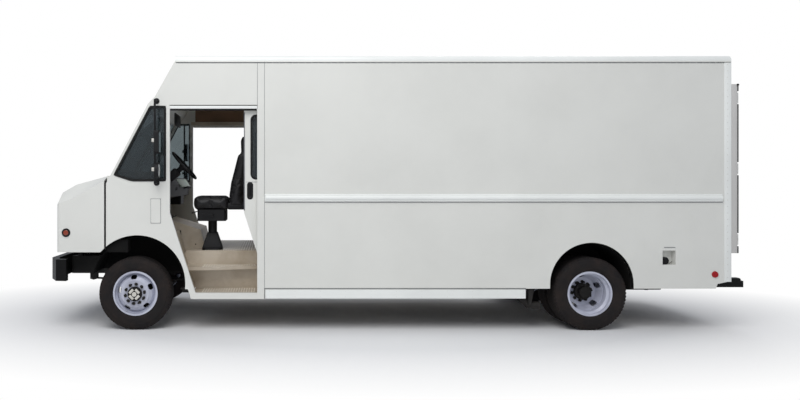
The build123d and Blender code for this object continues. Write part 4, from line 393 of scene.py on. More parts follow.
pitman_arm = rod([
    (box_x, box_y, 0.515), (box_x + 0.02, box_y - 0.01, 0.47), (box_x + 0.05, box_y - 0.03, 0.40),
], 0.02, bend=0.02)
complete(joined(steering_box, sector, pitman_arm), "steering_box", "root", fitting_steel)


# Hubs: cast iron drums and flanges, the front ones closed by a pressed grease cap with four
# lugs, the rear ones by the flange of the drive shaft with its ring of small bolts.
def around(place, count, ring=0.0, first=0.0):
    """Places on a ring round an axle, the first one turned by an angle."""
    return [
        Matrix.Translation(place) @ Matrix.Rotation(first + math.tau * i / count, 4, "Y")
        @ Matrix.Translation((ring, 0, 0))
        for i in range(count)
    ]


def hub_tip(node, side):
    """The outer end of a hub, as a distance across the van."""
    low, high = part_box(node)
    return low[1] if side == left else high[1]


cast_iron = finish("sand_cast_iron", "1d1b18", "131210", 0.7, 2, 0.3, Specular_IOR_Level=0.3)
dress(cast_iron, "engine", "hub_front_left", "hub_front_right", "hub_rear_left", "hub_rear_right")
cap_silver = finish("pressed_zinc_cap", "e6e3da", "c9c6bd", 0.4, 2, 0.1, metallic=0.15)
hub_face_outline = [(0.02, 0.07), (0.043, 0.07), (0.046, 0.066), (0.046, 0)]
hub_face_inset = 0.045
cap_outline = [(0.045, 0.027), (0.053, 0.027), (0.056, 0.024), (0.056, 0)]
lug_ring = 0.049
lug_depth = 0.048
lug_size = (0.030, 0.008, 0.062)
lug_count = 4
shaft_bolt_count = 10
shaft_bolt_ring = 0.080
shaft_bolt_inset = 0.04
for name, side in sides:
    centre = (front_axle_x, hub_tip(f"hub_front_{name}", side) - side * hub_face_inset, axle_z)
    face = turned(hub_face_outline, centre, (0, side, 0), (1, 0, 0))
    complete(face, f"hub_face_{name}", f"wheel_front_{name}", cast_iron)
    cap = turned(cap_outline, centre, (0, side, 0), (1, 0, 0))
    lug = block((lug_ring, side * lug_depth, 0), lug_size)
    lugs = repeat(lug, around(centre, lug_count, first=math.pi / lug_count))
    complete(joined(cap, lugs), f"grease_cap_{name}", f"wheel_front_{name}", cap_silver)
    centre = (rear_axle_x, hub_tip(f"hub_rear_{name}", side) - side * shaft_bolt_inset, axle_z)
    bolts = repeat(bolt_head(0.008, 0.009, (0, side, 0)), around(centre, shaft_bolt_count, shaft_bolt_ring))
    complete(bolts, f"shaft_bolts_{name}", f"wheels_rear_{name}", fitting_steel)

# Disc wheels: pressed steel in silver-grey enamel, clamped by ten flanged nuts on studs whose
# ends stand proud. A dust shield closes each front drum behind the hand holes.
wheel_silver = finish("silver_grey_enamel", "c6c9d6", "a9abb9", 0.38, 3, 0.05, metallic=0.05)
dress(wheel_silver, "wheel_front_left", "wheel_front_right", "wheels_rear_left", "wheels_rear_right")
nut_count = 10
nut_ring = 0.1125
nut_radius = 0.019
nut_height = 0.024
nut_turn = math.radians(6)
disc_metal = 0.012
shield_radius = 0.205
shield_bore = 0.09
shield_metal = 0.004
wheel_table = (
    # place, body, axle x, outer face of the disc as a distance from the middle plane
    ("front", "wheel_front", front_axle_x, 1.14),
    ("rear", "wheels_rear", rear_axle_x, 0.915 + disc_metal),
)
for place, body, axle_x, face in wheel_table:
    for name, side in sides:
        nuts = repeat(bolt_head(nut_radius, nut_height, (0, side, 0)),
                      around((axle_x, side * face, axle_z), nut_count, nut_ring, -nut_turn))
        complete(nuts, f"wheel_nuts_{place}_{name}", f"{body}_{name}", fitting_steel)
for name, side in sides:
    hub_low, hub_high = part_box(f"hub_front_{name}")
    inner_y = min(abs(hub_low[1]), abs(hub_high[1]))
    shield = turned([
        (0, shield_radius), (shield_metal, shield_radius), (shield_metal, shield_bore), (0, shield_bore),
        (0, shield_radius),
    ], (front_axle_x, side * (inner_y - 0.008), axle_z), (0, side, 0), (1, 0, 0), 40)
    complete(shield, f"dust_shield_{name}", f"knuckle_{name}", chassis_black)

# Tyres: moulded rubber with five ribs parted by grooves, shoulder lugs cut by short notches, and
# sidewalls with raised rings. Brown road film lies on them.
tyre_rubber = finish("tread_rubber", "1a1717", "2a2320", 0.85, 3, 0.4, patch_mm=160, Specular_IOR_Level=0.3)
bead_radius = 0.2483
bead_half = 0.0957
crown_radius = 0.423
crown_half = 0.088
groove_depth = 0.011
groove_width = 0.008
rib_count = 5
lug_rows = 64
lug_phase = 0.25
side_outline = [
    (bead_half, bead_radius), (bead_half, 0.2612), (0.104, 0.266), (0.113, 0.278), (0.1185, 0.292),
    (0.1205, 0.2945), (0.1205, 0.2985), (0.1213, 0.301), (0.1235, 0.325), (0.124, 0.342),
    (0.1233, 0.356), (0.1235, 0.3575), (0.1225, 0.3635), (0.1213, 0.365), (0.1175, 0.381),
    (0.112, 0.397), (0.104, 0.408), (0.0975, 0.4115), (0.092, crown_radius - 0.003),
    (crown_half, crown_radius),
]
crown = []
rib_pitch = 2 * crown_half / rib_count
for i in range(1, rib_count):
    y = crown_half - i * rib_pitch
    crown += [
        (y + groove_width / 2, crown_radius), (y + groove_width / 4, crown_radius - groove_depth),
        (y - groove_width / 4, crown_radius - groove_depth), (y - groove_width / 2, crown_radius),
    ]
tyre_outline = side_outline + crown + [(-y, r) for y, r in reversed(side_outline)]
tyre_outline.append(tyre_outline[0])
carcass = turned(tyre_outline, (0, 0, 0), (0, 1, 0), (1, 0, 0), 96)
shoulder_lug = block((0.4105, 0.1015, 0), (0.017, 0.014, 0.024), 0.002)
lugs = repeat(shoulder_lug, [
    Matrix.Rotation(math.tau * (i + lug_phase * side) / lug_rows, 4, "Y") @ Matrix.Diagonal((1, side, 1, 1))
    for i in range(lug_rows) for side in (left, right)
])
tyre = joined(carcass, outward(lugs))
tyre_table = (
    # CAD node, body, axle x, wheel middles from the centre plane
    ("tyre_front", "wheel_front", front_axle_x, (1.02,)),
    ("tyres_rear", "wheels_rear", rear_axle_x, (0.7775, 1.0525)),
)
for node, body, axle_x, middles in tyre_table:
    for name, side in sides:
        rolled = repeat(twin(tyre), [(axle_x, side * middle, axle_z) for middle in middles])
        complete(rolled, f"tread_{node}_{name}", f"{body}_{name}", tyre_rubber, 30)
        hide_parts(f"{node}_{name}")
bpy.data.objects.remove(tyre)

# Exhaust: welded steel pipe and silencer, their mill scale dulled by heat to a dark brown grey
# and dusty from the road.
pipe_steel = finish("heat_dulled_steel", "231f1c", "181513", 0.6, 3, 0.1, metallic=0.3)
dress(pipe_steel, "exhaust")


# Cab floor and load deck: extruded aluminium planks, ribbed lengthwise behind and crosswise in
# the cab, riveted to the sills. Dust has dulled them to a tan grey. The cab's ribs are lighter,
# partly from shoe polish and partly as painted highlight on their tops.
def row_of(piece, count, step):
    """A piece repeated in a straight row."""
    return modify(piece, "ARRAY", count=count, use_relative_offset=False, use_constant_offset=True,
                  constant_offset_displace=step)


mill_aluminium = finish("mill_finish_aluminium", "c4b9a8", "a89a86", 0.45, 1.5, 0.05, metallic=0.3)
dress(mill_aluminium, "floor", "engine_cover", "step_wells", "bulkhead", "wheelhouses", "door_tracks")
# A lighter copy of the mill finish for raised tops: partly shoe polish, partly painted highlight.
polished_and_highlit_aluminium = finish("shoe_polished_and_highlit_aluminium", "ede7da", "ddd6c8", 0.35, 1.5, 0.05, metallic=0.2)
deck_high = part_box("floor")[1]
rib_pitch_y = 0.05
rib_height = 0.004
rib_width = 0.012
rib_z = deck_high[2] + rib_height / 2
wheelhouse_half = 0.50
deck_rows = (
    # name, front x, rear x, inner edge, outer edge of the ribbed strip
    ("load", -1.51, deck_high[0] - 0.01, 0.0, 0.58),
    ("load_front", -0.70, rear_axle_x - wheelhouse_half, 0.60, 1.13),
    ("load_rear", rear_axle_x + wheelhouse_half, deck_high[0] - 0.01, 0.60, 1.13),
)
for name, x0, x1, inner, outer in deck_rows:
    for turn_name, side in sides:
        rib = block(((x0 + x1) / 2, side * (inner + rib_pitch_y / 2), rib_z),
                    (x1 - x0, rib_width, rib_height), 0.001)
        ribs = row_of(rib, int((outer - inner) / rib_pitch_y), (0, side * rib_pitch_y, 0))
        complete(ribs, f"deck_ribs_{name}_{turn_name}", "root", mill_aluminium)
cab_front, cab_rear, cab_outer = -2.24, -1.62, 0.74
cab_rib_count = 21
rib = block((cab_front, 0, rib_z), (rib_width, 2 * cab_outer, rib_height), 0.001)
cab_ribs = row_of(rib, cab_rib_count, ((cab_rear - cab_front) / (cab_rib_count - 1), 0, 0))
complete(cab_ribs, "deck_ribs_cab", "root", polished_and_highlit_aluminium)

# Step wells: rolled plate with raised lozenges that grip a shoe. The lozenges are bright, partly from
# polish and partly as painted highlight, and the colour is a warm tan where dirt has worked in between them.
tread_levels = (
    # top, inner edge, outer edge at the front and at the rear
    (0.722, 0.76, 1.075, 0.895),
    (0.442, 0.81, 1.145, 1.145),
)
step_front_x = -2.27
step_rear_x = -1.605
step_length = step_rear_x - step_front_x
lozenge_size = (0.0135, 0.0055, 0.003)
lozenge_pitch = 0.03
lozenge_turn = 0.785
lozenge_margin = 0.01
for level, (top, inner, outer_front, outer_rear) in enumerate(tread_levels):
    columns = int(step_length / lozenge_pitch)
    rows = int((outer_front - inner) / lozenge_pitch)
    for name, side in sides:
        alone()
        bpy.ops.mesh.primitive_ico_sphere_add(subdivisions=1, radius=1)
        lozenge = bpy.context.object
        lozenge.scale = lozenge_size
        places = []
        for i in range(1, columns):
            for j in range(rows):
                x = step_front_x + i * lozenge_pitch
                y = inner + (j + 0.7) * lozenge_pitch
                share = (x - step_front_x) / step_length
                outer = outer_front + (outer_rear - outer_front) * share
                if y <= outer - lozenge_margin:
                    turn = lozenge_turn if (i + j) % 2 else -lozenge_turn
                    places.append(Matrix.Translation((x, side * y, top)) @ Matrix.Rotation(turn, 4, "Z"))
        plate = repeat(lozenge, places)
        complete(plate, f"tread_plate_{level}_{name}", "root", polished_and_highlit_aluminium)

# Cab and cargo sides: aluminium sheet in white coach enamel, riveted in columns to the hidden
# posts, a sealed joint between panels. The enamel is a little orange-peeled.
coach_white = finish("coach_white_enamel", "dcdcd6", "d7d7d1", 0.32, 4, 0.02, patch_mm=900,
                     Coat_Weight=0.2, Coat_Roughness=0.15)
dress(coach_white, "hood", "cowl", "cab_side_left", "cab_side_right", "header", "cargo_side_left",
      "cargo_side_right", "rear_portal", "fuel_filler", "cab_door_left", "cab_door_right")
# A lighter copy of the white enamel paints highlight on parts that catch the light: the rub rails and their
# beads, the roof and a band down each rear corner. The door track strips take it too.
highlight_white = finish("white_enamel_painted_highlight", "eceeea", "e4e6e2", 0.3, 4, 0.02, patch_mm=900)
dress(highlight_white, "rub_rails", "roof")
# This grey is the sealant of real joints, and under the mid rub rail it is a painted shadow.
sealant_and_shadow_grey = finish("butyl_sealant_and_painted_shadow", "75767a", "6a6b6c", 0.7, 3, 0.1)
side_low, side_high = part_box("cargo_side_left")
half_width = -side_low[1]
cab_rear_x = side_low[0]
body_rear_x = side_high[0]
rivet_radius = 0.0065
rivet_pitch = 0.075
lower_columns = (-0.103, 0.531, 1.108, 1.685, 2.297, 2.874, 3.416)
upper_columns = (-0.646, 0.000, 0.646, 1.292, 1.938, 2.584, 3.230)
lower_span = (0.905, 1.40)
upper_span = (1.62, 3.08)
corner_span = (0.62, 3.08)
edge_level = 0.515
sill_level = 0.885
rear_arch_radius = 0.482
rear_arch_z = 0.539
row_spans = (
    # height, from x, to x
    (3.095, cab_rear_x + 0.02, body_rear_x - 0.03),
    (edge_level, cab_rear_x + 0.05, rear_axle_x - 0.56),
    (sill_level, cab_rear_x + 0.05, rear_axle_x - 0.45),
    (sill_level, rear_axle_x + 0.45, body_rear_x - 0.85),
)


def rivet(side):
    """A domed rivet head that stands on a side panel."""
    alone()
    bpy.ops.mesh.primitive_uv_sphere_add(segments=8, ring_count=4, radius=rivet_radius)
    piece = bpy.context.object
    piece.scale = (1, 0.45, 1)
    settle(piece)
    bpy.ops.object.mode_set(mode="EDIT")
    bpy.ops.mesh.select_all(action="SELECT")
    bpy.ops.mesh.bisect(plane_co=(0, 0, 0), plane_no=(0, side, 0), clear_inner=True, use_fill=True)
    bpy.ops.object.mode_set(mode="OBJECT")
    return piece


def steps(start, end, pitch):
    """Places from a start to an end at about a pitch."""
    count = max(1, round((end - start) / pitch))
    return [start + (end - start) * i / count for i in range(count + 1)]


def on_side(side, x, z, length, height, proud=0.0005, thickness=0.003, bevel=0.001):
    """A thin strip that lies on a side panel, its middle a little proud of the sheet."""
    return block((x, side * (half_width + proud), z), (length, thickness, height), bevel)


for name, side in sides:
    places = [(x, side * half_width, z) for x in lower_columns for z in steps(*lower_span, rivet_pitch)
              if math.hypot(x - rear_axle_x, z - rear_arch_z) > rear_arch_radius + 0.02]
    places += [(x, side * half_width, z) for x in upper_columns for z in steps(*upper_span, rivet_pitch)]
    for z, x0, x1 in row_spans:
        places += [(x, side * half_width, z) for x in steps(x0, x1, rivet_pitch)]
    places += [(body_rear_x - 0.045, side * (half_width + 0.0025), z)
               for z in steps(*corner_span, rivet_pitch)]
    complete(repeat(rivet(side), places), f"side_rivets_{name}", "root", coach_white)
    body_seam = on_side(side, cab_rear_x, 1.745, 0.004, 2.74)
    header_seam = on_side(side, cab_rear_x - 0.082, 2.84, 0.004, 0.55)
    complete(joined(body_seam, header_seam), f"panel_seams_{name}", "root", sealant_and_shadow_grey)
    # A brighter strip down each rear corner is a painted highlight on the corner post.
    corner = on_side(side, body_rear_x - 0.042, 1.835, 0.082, 2.53, proud=0.001)
    complete(corner, f"corner_painted_highlight_{name}", "root", highlight_white)

# Rub rails: an extruded aluminium channel in white enamel, its lighter white a painted highlight,
# with a rounded bead, riveted along both lips. A grey line under the mid rail is painted shadow,
# and a dark line runs along the skirt's lower edge above the lower rail.
rub_rail_rear_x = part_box("rub_rails")[1][0]
skirt_level = 0.491
mid_rail_rows = (1.497, 1.578)
mid_rail_z = 1.5375
mid_rail_foot = 1.4875
mid_rivet_pitch = 0.15
skirt_rows = (0.40, 0.465)
skirt_rivet_pitch = 0.3
skirt_rear_x = rear_axle_x - 0.762
bead_radius_y = 0.034
for name, side in sides:
    places = [(x, side * (half_width + 0.001), z) for z in mid_rail_rows
              for x in steps(cab_rear_x + 0.06, 3.74, mid_rivet_pitch)]
    places += [(x, side * (half_width + 0.02), z) for z in skirt_rows
               for x in steps(cab_rear_x + 0.06, rear_axle_x - 0.80, skirt_rivet_pitch)]
    complete(repeat(rivet(side), places), f"rail_rivets_{name}", "root", coach_white)
    bead = rod([(cab_rear_x + 0.012, side * half_width, mid_rail_z),
                (rub_rail_rear_x - 0.012, side * half_width, mid_rail_z)], bead_radius_y, sides=6)
    complete(bead, f"rail_bead_{name}", "root", highlight_white)
    # The grey line under the mid rail is painted shadow; the other lies along the skirt's lower edge.
    lines = [
        on_side(side, (cab_rear_x + rear_x) / 2, z, rear_x - cab_rear_x, 0.006, thickness=0.004)
        for rear_x, z in ((rub_rail_rear_x, mid_rail_foot), (skirt_rear_x, skirt_level + 0.003))
    ]
    complete(joined(*lines), f"rail_painted_shadow_and_skirt_line_{name}", "root", sealant_and_shadow_grey)

# Eaves: the roof skin rolls over a cove with a rain channel under it; a grey strip under the
# channel is its painted shadow, a dark line along the van.
cove_shadow = finish("cove_painted_shadow", "75787a", "6a6c6d", 0.6, 3, 0.05)
roof_low, roof_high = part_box("roof")
eaves_x = (roof_low[0] + roof_high[0]) / 2
eaves_length = roof_high[0] - roof_low[0] - 0.02
for name, side in sides:
    gutter = on_side(side, eaves_x, roof_low[2] - 0.002, eaves_length, 0.007, 0.004, 0.012, 0.002)
    complete(gutter, f"rain_channel_{name}", "root", coach_white)
    shadow = on_side(side, eaves_x, roof_low[2] - 0.0105, eaves_length, 0.009)
    complete(shadow, f"rain_channel_painted_shadow_{name}", "root", cove_shadow)

# Door surrounds: an enamelled track strip over each doorway with a black rubber weather seal
# above and below it.
black_rubber = finish("epdm_rubber", "131313", "1d1c1b", 0.75, 2, 0.15, Specular_IOR_Level=0.3)
door_front_x = -2.6115
door_rear_x = -1.601
doorway_x = (door_front_x + door_rear_x) / 2
doorway_length = door_rear_x - door_front_x
for name, side in sides:
    strip = on_side(side, doorway_x, 2.5835, doorway_length, 0.030, 0.004, 0.01, 0.002)
    complete(strip, f"door_track_strip_{name}", "root", highlight_white)
    lower_seal = on_side(side, doorway_x, 2.557, doorway_length - 0.01, 0.02, -0.004, 0.014, 0.003)
    upper_seal = on_side(side, doorway_x, 2.607, doorway_length, 0.008, 0.001, 0.004)
    complete(joined(lower_seal, upper_seal), f"door_seal_{name}", "root", black_rubber)

# Windows: laminated safety glass with a grey tint, smooth and glossy, held in black extruded
# rubber that is pressed over the edge of each opening.
window_glass = finish("tinted_safety_glass", "6c7679", "677174", 0.03, 50, 0.0,
                      Transmission_Weight=0.9, IOR=1.45)
dress(window_glass, "cab_glass", "door_glass_left", "door_glass_right")


def rubber_frame(outline, width, thickness, corner):
    """A moulded strip round a window: its outline filled, the corners rounded, the middle cut out."""
    piece = chain(outline, closed=True)
    if corner:
        bpy.ops.mesh.bevel(affect="VERTICES", offset=corner, segments=4)
    bpy.ops.mesh.select_all(action="SELECT")
    bpy.ops.mesh.inset(thickness=width, depth=0)
    bpy.ops.mesh.delete(type="FACE")
    bpy.ops.object.mode_set(mode="OBJECT")
    modify(piece, "SOLIDIFY", thickness=thickness, offset=0)
    outward(piece)
    return modify(piece, "BEVEL", width=thickness * 0.25, segments=2, limit_method="ANGLE")


cowl_x = -3.346
belt_z = 1.704
windshield_top_z = 2.628
windshield_lean = 0.485 / (windshield_top_z - belt_z)


def windshield_x(z):
    """Front face of the windshield frame at a height."""
    return cowl_x + windshield_lean * (z - belt_z)


gasket_width = 0.026
gasket_thickness = 0.012
gasket_inset = 0.004
quarter_rear_x = -2.652
quarter_foot_x = -3.048
quarter_levels = (1.729, 1.799, 2.602)
pane_levels = (1.856, 2.566)
pane_inner, pane_outer = 0.022, 1.093
for name, side in sides:
    y = side * (half_width + 0.002)
    foot_z, front_z, top_z = quarter_levels
    quarter = [
        (windshield_x(front_z) + 0.033, y, front_z), (windshield_x(top_z) + 0.033, y, top_z),
        (quarter_rear_x, y, top_z), (quarter_rear_x, y, foot_z), (quarter_foot_x, y, foot_z),
    ]
    complete(rubber_frame(quarter, gasket_width, gasket_thickness, 0.03), f"quarter_gasket_{name}", "root",
             black_rubber)
    low, high = pane_levels
    pane = [
        (windshield_x(z) - gasket_inset, side * y, z)
        for y, z in ((pane_inner, low), (pane_inner, high), (pane_outer, high), (pane_outer, low))
    ]
    complete(rubber_frame(pane, gasket_width, gasket_thickness, 0.05), f"windshield_gasket_{name}", "root",
             black_rubber)

# Wipers: a sprung arm of powder-coated steel from a boss under each pane, matt black, and a
# rubber blade laid on the glass.
wiper_paint = finish("matt_black_powder_coat", "171717", "232322", 0.6, 1, 0.1)
wiper_foot_z, wiper_tip_z = 1.83, 2.33
wiper_foot_y, wiper_tip_y = 0.30, 0.52
arm_radius = 0.005
blade_radius = 0.006
blade_half = 0.22
boss_outline = [(0, 0.018), (0.012, 0.018), (0.016, 0.012), (0.016, 0)]
for name, side in sides:
    foot = Vector((windshield_x(wiper_foot_z) - 0.012, side * wiper_foot_y, wiper_foot_z))
    tip = Vector((windshield_x(wiper_tip_z) - 0.006, side * wiper_tip_y, wiper_tip_z))
    lean = (tip - foot).normalized()
    arm = rod([foot, foot + Vector((-0.015, 0, 0.02)), tip], arm_radius, bend=0.008)
    blade = rod([tip - lean * 0.02 + Vector((blade_radius, -side * blade_half, 0)),
                 tip + Vector((blade_radius, side * blade_half, 0))], blade_radius)
    boss = turned(boss_outline, foot, (-1, 0, 0.3), (0, 1, 0), 20)
    complete(joined(arm, blade, boss), f"wiper_{name}", "root", wiper_paint)

# Hood: a moulded nose in the same white enamel that tilts on two pivots at its front. A black
# rubber seal closes its joint to the cowl.
hood_low, hood_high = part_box("hood")
seal_x = (hood_high[0] + cowl_x) / 2
seal_radius = 0.0095
seal_outer_y = half_width - 0.016
seal_top_z = 1.776
for name, side in sides:
    seal = rod([
        (seal_x, side * seal_outer_y, 0.94), (seal_x, side * seal_outer_y, 1.72),
        (seal_x, side * 0.985, seal_top_z), (seal_x, side * 0.01, seal_top_z),
    ], seal_radius, bend=0.03)
    complete(seal, f"hood_seal_{name}", "root", black_rubber)

# Grille and headlamps: a moulded black grille with an insect screen behind it, and clear lenses
# over bright reflectors in black bezels.
black_plastic = finish("grained_abs", "0d0d0e", "151517", 0.6, 1.5, 0.15, Specular_IOR_Level=0.3)
dress(black_plastic, "grille", "dashboard", "steering_wheel", "mirrors", "seat_base")
grille_low, grille_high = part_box("grille")
screen_thickness = 0.003
screen = block(
    (grille_high[0] + screen_thickness, 0, (grille_low[2] + grille_high[2]) / 2),
    (screen_thickness, grille_high[1] - grille_low[1], grille_high[2] - grille_low[2]), 0.001,
)
complete(screen, "insect_screen", "hood", black_plastic)
clear_lens = finish("clear_polycarbonate", "dfe3e4", "d5dadb", 0.08, 20, 0.05, Coat_Weight=0.5)
dress(clear_lens, "headlamps")
bright_reflector = finish("vacuum_plated_reflector", "d9dadd", "c6c7ca", 0.15, 5, 0.05, metallic=1.0)
lamp_low, lamp_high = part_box("headlamps")
lamp_width = 0.25
lamp_outer = lamp_high[1]
lamp_inner = lamp_outer - lamp_width
bezel_width = 0.018
bezel_thickness = 0.012
bowl_outline = [(0, 0.072), (-0.008, 0.074), (-0.010, 0.066), (-0.002, 0.05), (0.002, 0.02), (0.003, 0)]
for name, side in sides:
    corners = [
        (hood_low[0] - 0.001, side * y, z)
        for y, z in ((lamp_inner, lamp_low[2]), (lamp_inner, lamp_high[2]),
                     (lamp_outer, lamp_high[2]), (lamp_outer, lamp_low[2]))
    ]
    bezel = rubber_frame(corners, bezel_width, bezel_thickness, 0.012)
    complete(bezel, f"headlamp_bezel_{name}", "hood", black_plastic)
    centre = (lamp_low[0] - 0.003, side * (lamp_inner + lamp_width / 2), (lamp_low[2] + lamp_high[2]) / 2)
    bowl = turned(bowl_outline, centre, (1, 0, 0), (0, 0, 1))
    complete(bowl, f"headlamp_reflector_{name}", "hood", bright_reflector)

# Marker lamps: a domed lens of moulded amber acrylic, dark where it is thick, in a black rubber
# ring on each side of the hood.
amber_lens = finish("amber_acrylic", "8e3413", "76270d", 0.15, 6, 0.2, Coat_Weight=0.4)
dress(black_rubber, "front_markers")
marker_low, marker_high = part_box("front_markers")
marker_x = (marker_low[0] + marker_high[0]) / 2
marker_z = (marker_low[2] + marker_high[2]) / 2
lens_outline = [(0.0125, 0), (0.0122, 0.012), (0.0108, 0.024), (0.0085, 0.031), (0.006, 0.033)]
for name, side in sides:
    lens = turned(lens_outline, (marker_x, side * (half_width + 0.003), marker_z), (0, side, 0), (1, 0, 0))
    complete(lens, f"marker_lens_{name}", "hood", amber_lens)

# Rear lamps: moulded red acrylic that shines a little, with a rim and three rings in each
# round lens.
red_lens = finish("red_acrylic", "9c0d18", "7e0a12", 0.2, 6, 0.2, Specular_IOR_Level=0.3)
dress(red_lens, "rear_lamps")
rear_lamp_rows = (0.700, 0.840, 0.980)
rear_lamp_z = 0.740
rim_outline = [(0, 0.058), (0.006, 0.058), (0.008, 0.052), (0.0, 0.0505)]
ring_radii = (0.042, 0.030, 0.018)
for name, side in sides:
    rings = []
    for y in rear_lamp_rows:
        centre = (body_rear_x, side * y, rear_lamp_z)
        rings.append(turned(rim_outline, centre, (1, 0, 0), (0, 1, 0)))
        rings += [
            turned([(0.0195, r), (0.0215, r - 0.002), (0.0195, r - 0.004)], centre, (1, 0, 0), (0, 1, 0))
            for r in ring_radii
        ]
    complete(joined(*rings), f"rear_lamp_rings_{name}", "root", red_lens)

# Cab doors: aluminium sheet on a tube frame, painted inside and out, with an oval recessed pull
# and a rubber-set window. They hang from rollers.
door_low, door_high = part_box("cab_door_left")
door_outer_y = -door_low[1]
inner_gasket_depth = 0.039
pane_edge = 0.074
pane_x0, pane_x1 = door_low[0] + pane_edge, door_high[0] - pane_edge
pane_z0, pane_z1 = 1.750, 2.507
handle_x, handle_z = -1.685, 1.620
handle_half_width, handle_half_height = 0.034, 0.098
cup_outline = [(0.004, 0.035), (0.007, 0.033), (0.007, 0.029), (0.002, 0.025), (0.0015, 0.022), (0.0015, 0)]
rim_half_width, rim_half_height = 0.036, 0.102
for name, side in sides:
    body = f"cab_door_{name}"
    for face, y in (("outer", door_outer_y + 0.001), ("inner", door_outer_y - inner_gasket_depth)):
        corners = [(pane_x0, side * y, pane_z0), (pane_x0, side * y, pane_z1),
                   (pane_x1, side * y, pane_z1), (pane_x1, side * y, pane_z0)]
        gasket = rubber_frame(corners, 0.022, 0.006, 0.064)
        complete(gasket, f"door_gasket_{face}_{name}", body, black_rubber)
    cup = turned(cup_outline, (0, 0, 0), (0, side, 0), (1, 0, 0))
    cup.scale = (1, 1, handle_half_height / handle_half_width)
    settle(cup)
    bar = rod([(0, side * 0.002, -0.055), (0, side * 0.009, -0.045), (0, side * 0.009, 0.045),
               (0, side * 0.002, 0.055)], 0.006, bend=0.008)
    rim = [(x * rim_half_width, 0, z * rim_half_height) for x, z in ((-1, -1), (-1, 1), (1, 1), (1, -1))]
    handle = joined(cup, bar, rubber_frame(rim, 0.020, 0.006, 0.0355))
    handle = repeat(handle, [(handle_x, side * (door_outer_y - 0.001), handle_z)])
    complete(handle, f"door_pull_{name}", body, black_plastic)
    edge = block((door_low[0] + 0.004, side * (door_outer_y + 0.0005), 1.96), (0.012, 0.003, 1.14), 0.001)
    seam = block(((door_low[0] + door_high[0]) / 2, side * (door_outer_y + 0.0005), 1.722),
                 (1.0, 0.002, 0.004), 0.0008)
    complete(joined(edge, seam), f"door_seams_{name}", body, sealant_and_shadow_grey)

# Mirrors: a black tube on two arms with a flat glass in its own housing and a round convex one
# under it, clamped by bright bands.
mirror_face_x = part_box("mirrors")[1][0]
mirror_x, mirror_y = -2.761, 1.330
flat_width, flat_height, flat_z = 0.165, 0.228, 2.175
dome_outline = [(0.0, 0.078), (0.003, 0.077), (0.007, 0.06), (0.010, 0.035), (0.0115, 0.012), (0.012, 0)]
dome_z = 1.855
band_outline = [(-0.012, 0.0122), (-0.012, 0.015), (0.012, 0.015), (0.012, 0.0122), (-0.012, 0.0122)]
clamp_levels = (1.865, 2.195)
foot_outline = [(-0.002, 0.034), (0.004, 0.034), (0.008, 0.02), (0.010, 0.013)]
foot_levels = (1.712, 2.655)
mirror_glass = finish("silvered_glass", "c9ced0", "c2c7c9", 0.03, 30, 0.001, metallic=1.0)
for name, side in sides:
    alone()
    bpy.ops.mesh.primitive_grid_add(x_subdivisions=8, y_subdivisions=10, size=1)
    flat = bpy.context.object
    flat.scale = (flat_width, flat_height, 1)
    flat.rotation_euler = Matrix(((0, 0, 1), (1, 0, 0), (0, 1, 0))).to_euler()
    flat.location = (mirror_face_x + 0.0006, side * mirror_y, flat_z)
    settle(flat)
    modify(flat, "SOLIDIFY", thickness=0.002, offset=0)
    dome = turned(dome_outline, (mirror_face_x, side * mirror_y, dome_z), (1, 0, 0), (0, 1, 0))
    complete(joined(flat, dome), f"mirror_glass_{name}", "root", mirror_glass)
    bands = [turned(band_outline, (mirror_x, side * mirror_y, z), (0, 0, 1), (1, 0, 0), 20)
             for z in clamp_levels]
    ears = [block((mirror_x - 0.014, side * (mirror_y + 0.012), z), (0.040, 0.016, 0.042), 0.004)
            for z in clamp_levels]
    complete(joined(*bands, *ears), f"mirror_clamps_{name}", "root", cap_silver)
    feet = [turned(foot_outline, (mirror_x, side * half_width, z), (0, side, 0), (1, 0, 0), 24)
            for z in foot_levels]
    complete(joined(*feet), f"mirror_feet_{name}", "root", black_plastic)

# Bumpers: pressed steel in gloss black, the rear one with rows of pressed buttons on top that
# grip a shoe and a thick block at each end.
bumper_black = finish("gloss_black_enamel", "050505", "0b0a0a", 0.42, 5, 0.03, Specular_IOR_Level=0.2)
dress(bumper_black, "front_bumper", "rear_bumper")
step_low, step_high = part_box("rear_bumper")
step_top_z = 0.574
button_radius = 0.011
button_rows = (3.925, 3.965, 4.005)
button_pitch = 0.06
alone()
bpy.ops.mesh.primitive_uv_sphere_add(segments=10, ring_count=6, radius=button_radius)
button = bpy.context.object
button.scale = (1, 1, 0.3)
buttons = repeat(button, [
    (x, y, step_top_z) for x in button_rows
    for y in steps(step_low[1] + button_pitch, step_high[1] - button_pitch, button_pitch)
])
complete(buttons, "step_buttons", "root", bumper_black)
ends = [block((3.942, side * (step_high[1] - 0.045), 0.553), (0.165, 0.088, 0.108), 0.02)
        for name, side in sides]
complete(joined(*ends), "bumper_ends", "root", bumper_black)


# Wheel arch liners: a moulded black splash guard curved over each wheel, closed on its inner
# side, that keeps spray off the body, with a black strip round the edge of the arch.
def arch_points(x, z, radius, y, start, end, count):
    """Points on an arch, from an angle to another, counted from the front."""
    turns = [math.radians(start + (end - start) * i / count) for i in range(count + 1)]
    return [(x - radius * math.cos(turn), y, z + radius * math.sin(turn)) for turn in turns]


def drawn_out(points, width):
    """A strip as wide as a distance across the van, along a row of points."""
    piece = chain(points)
    bpy.ops.mesh.extrude_region_move(TRANSFORM_OT_translate={"value": (0, width, 0)})
    bpy.ops.object.mode_set(mode="OBJECT")
    return piece


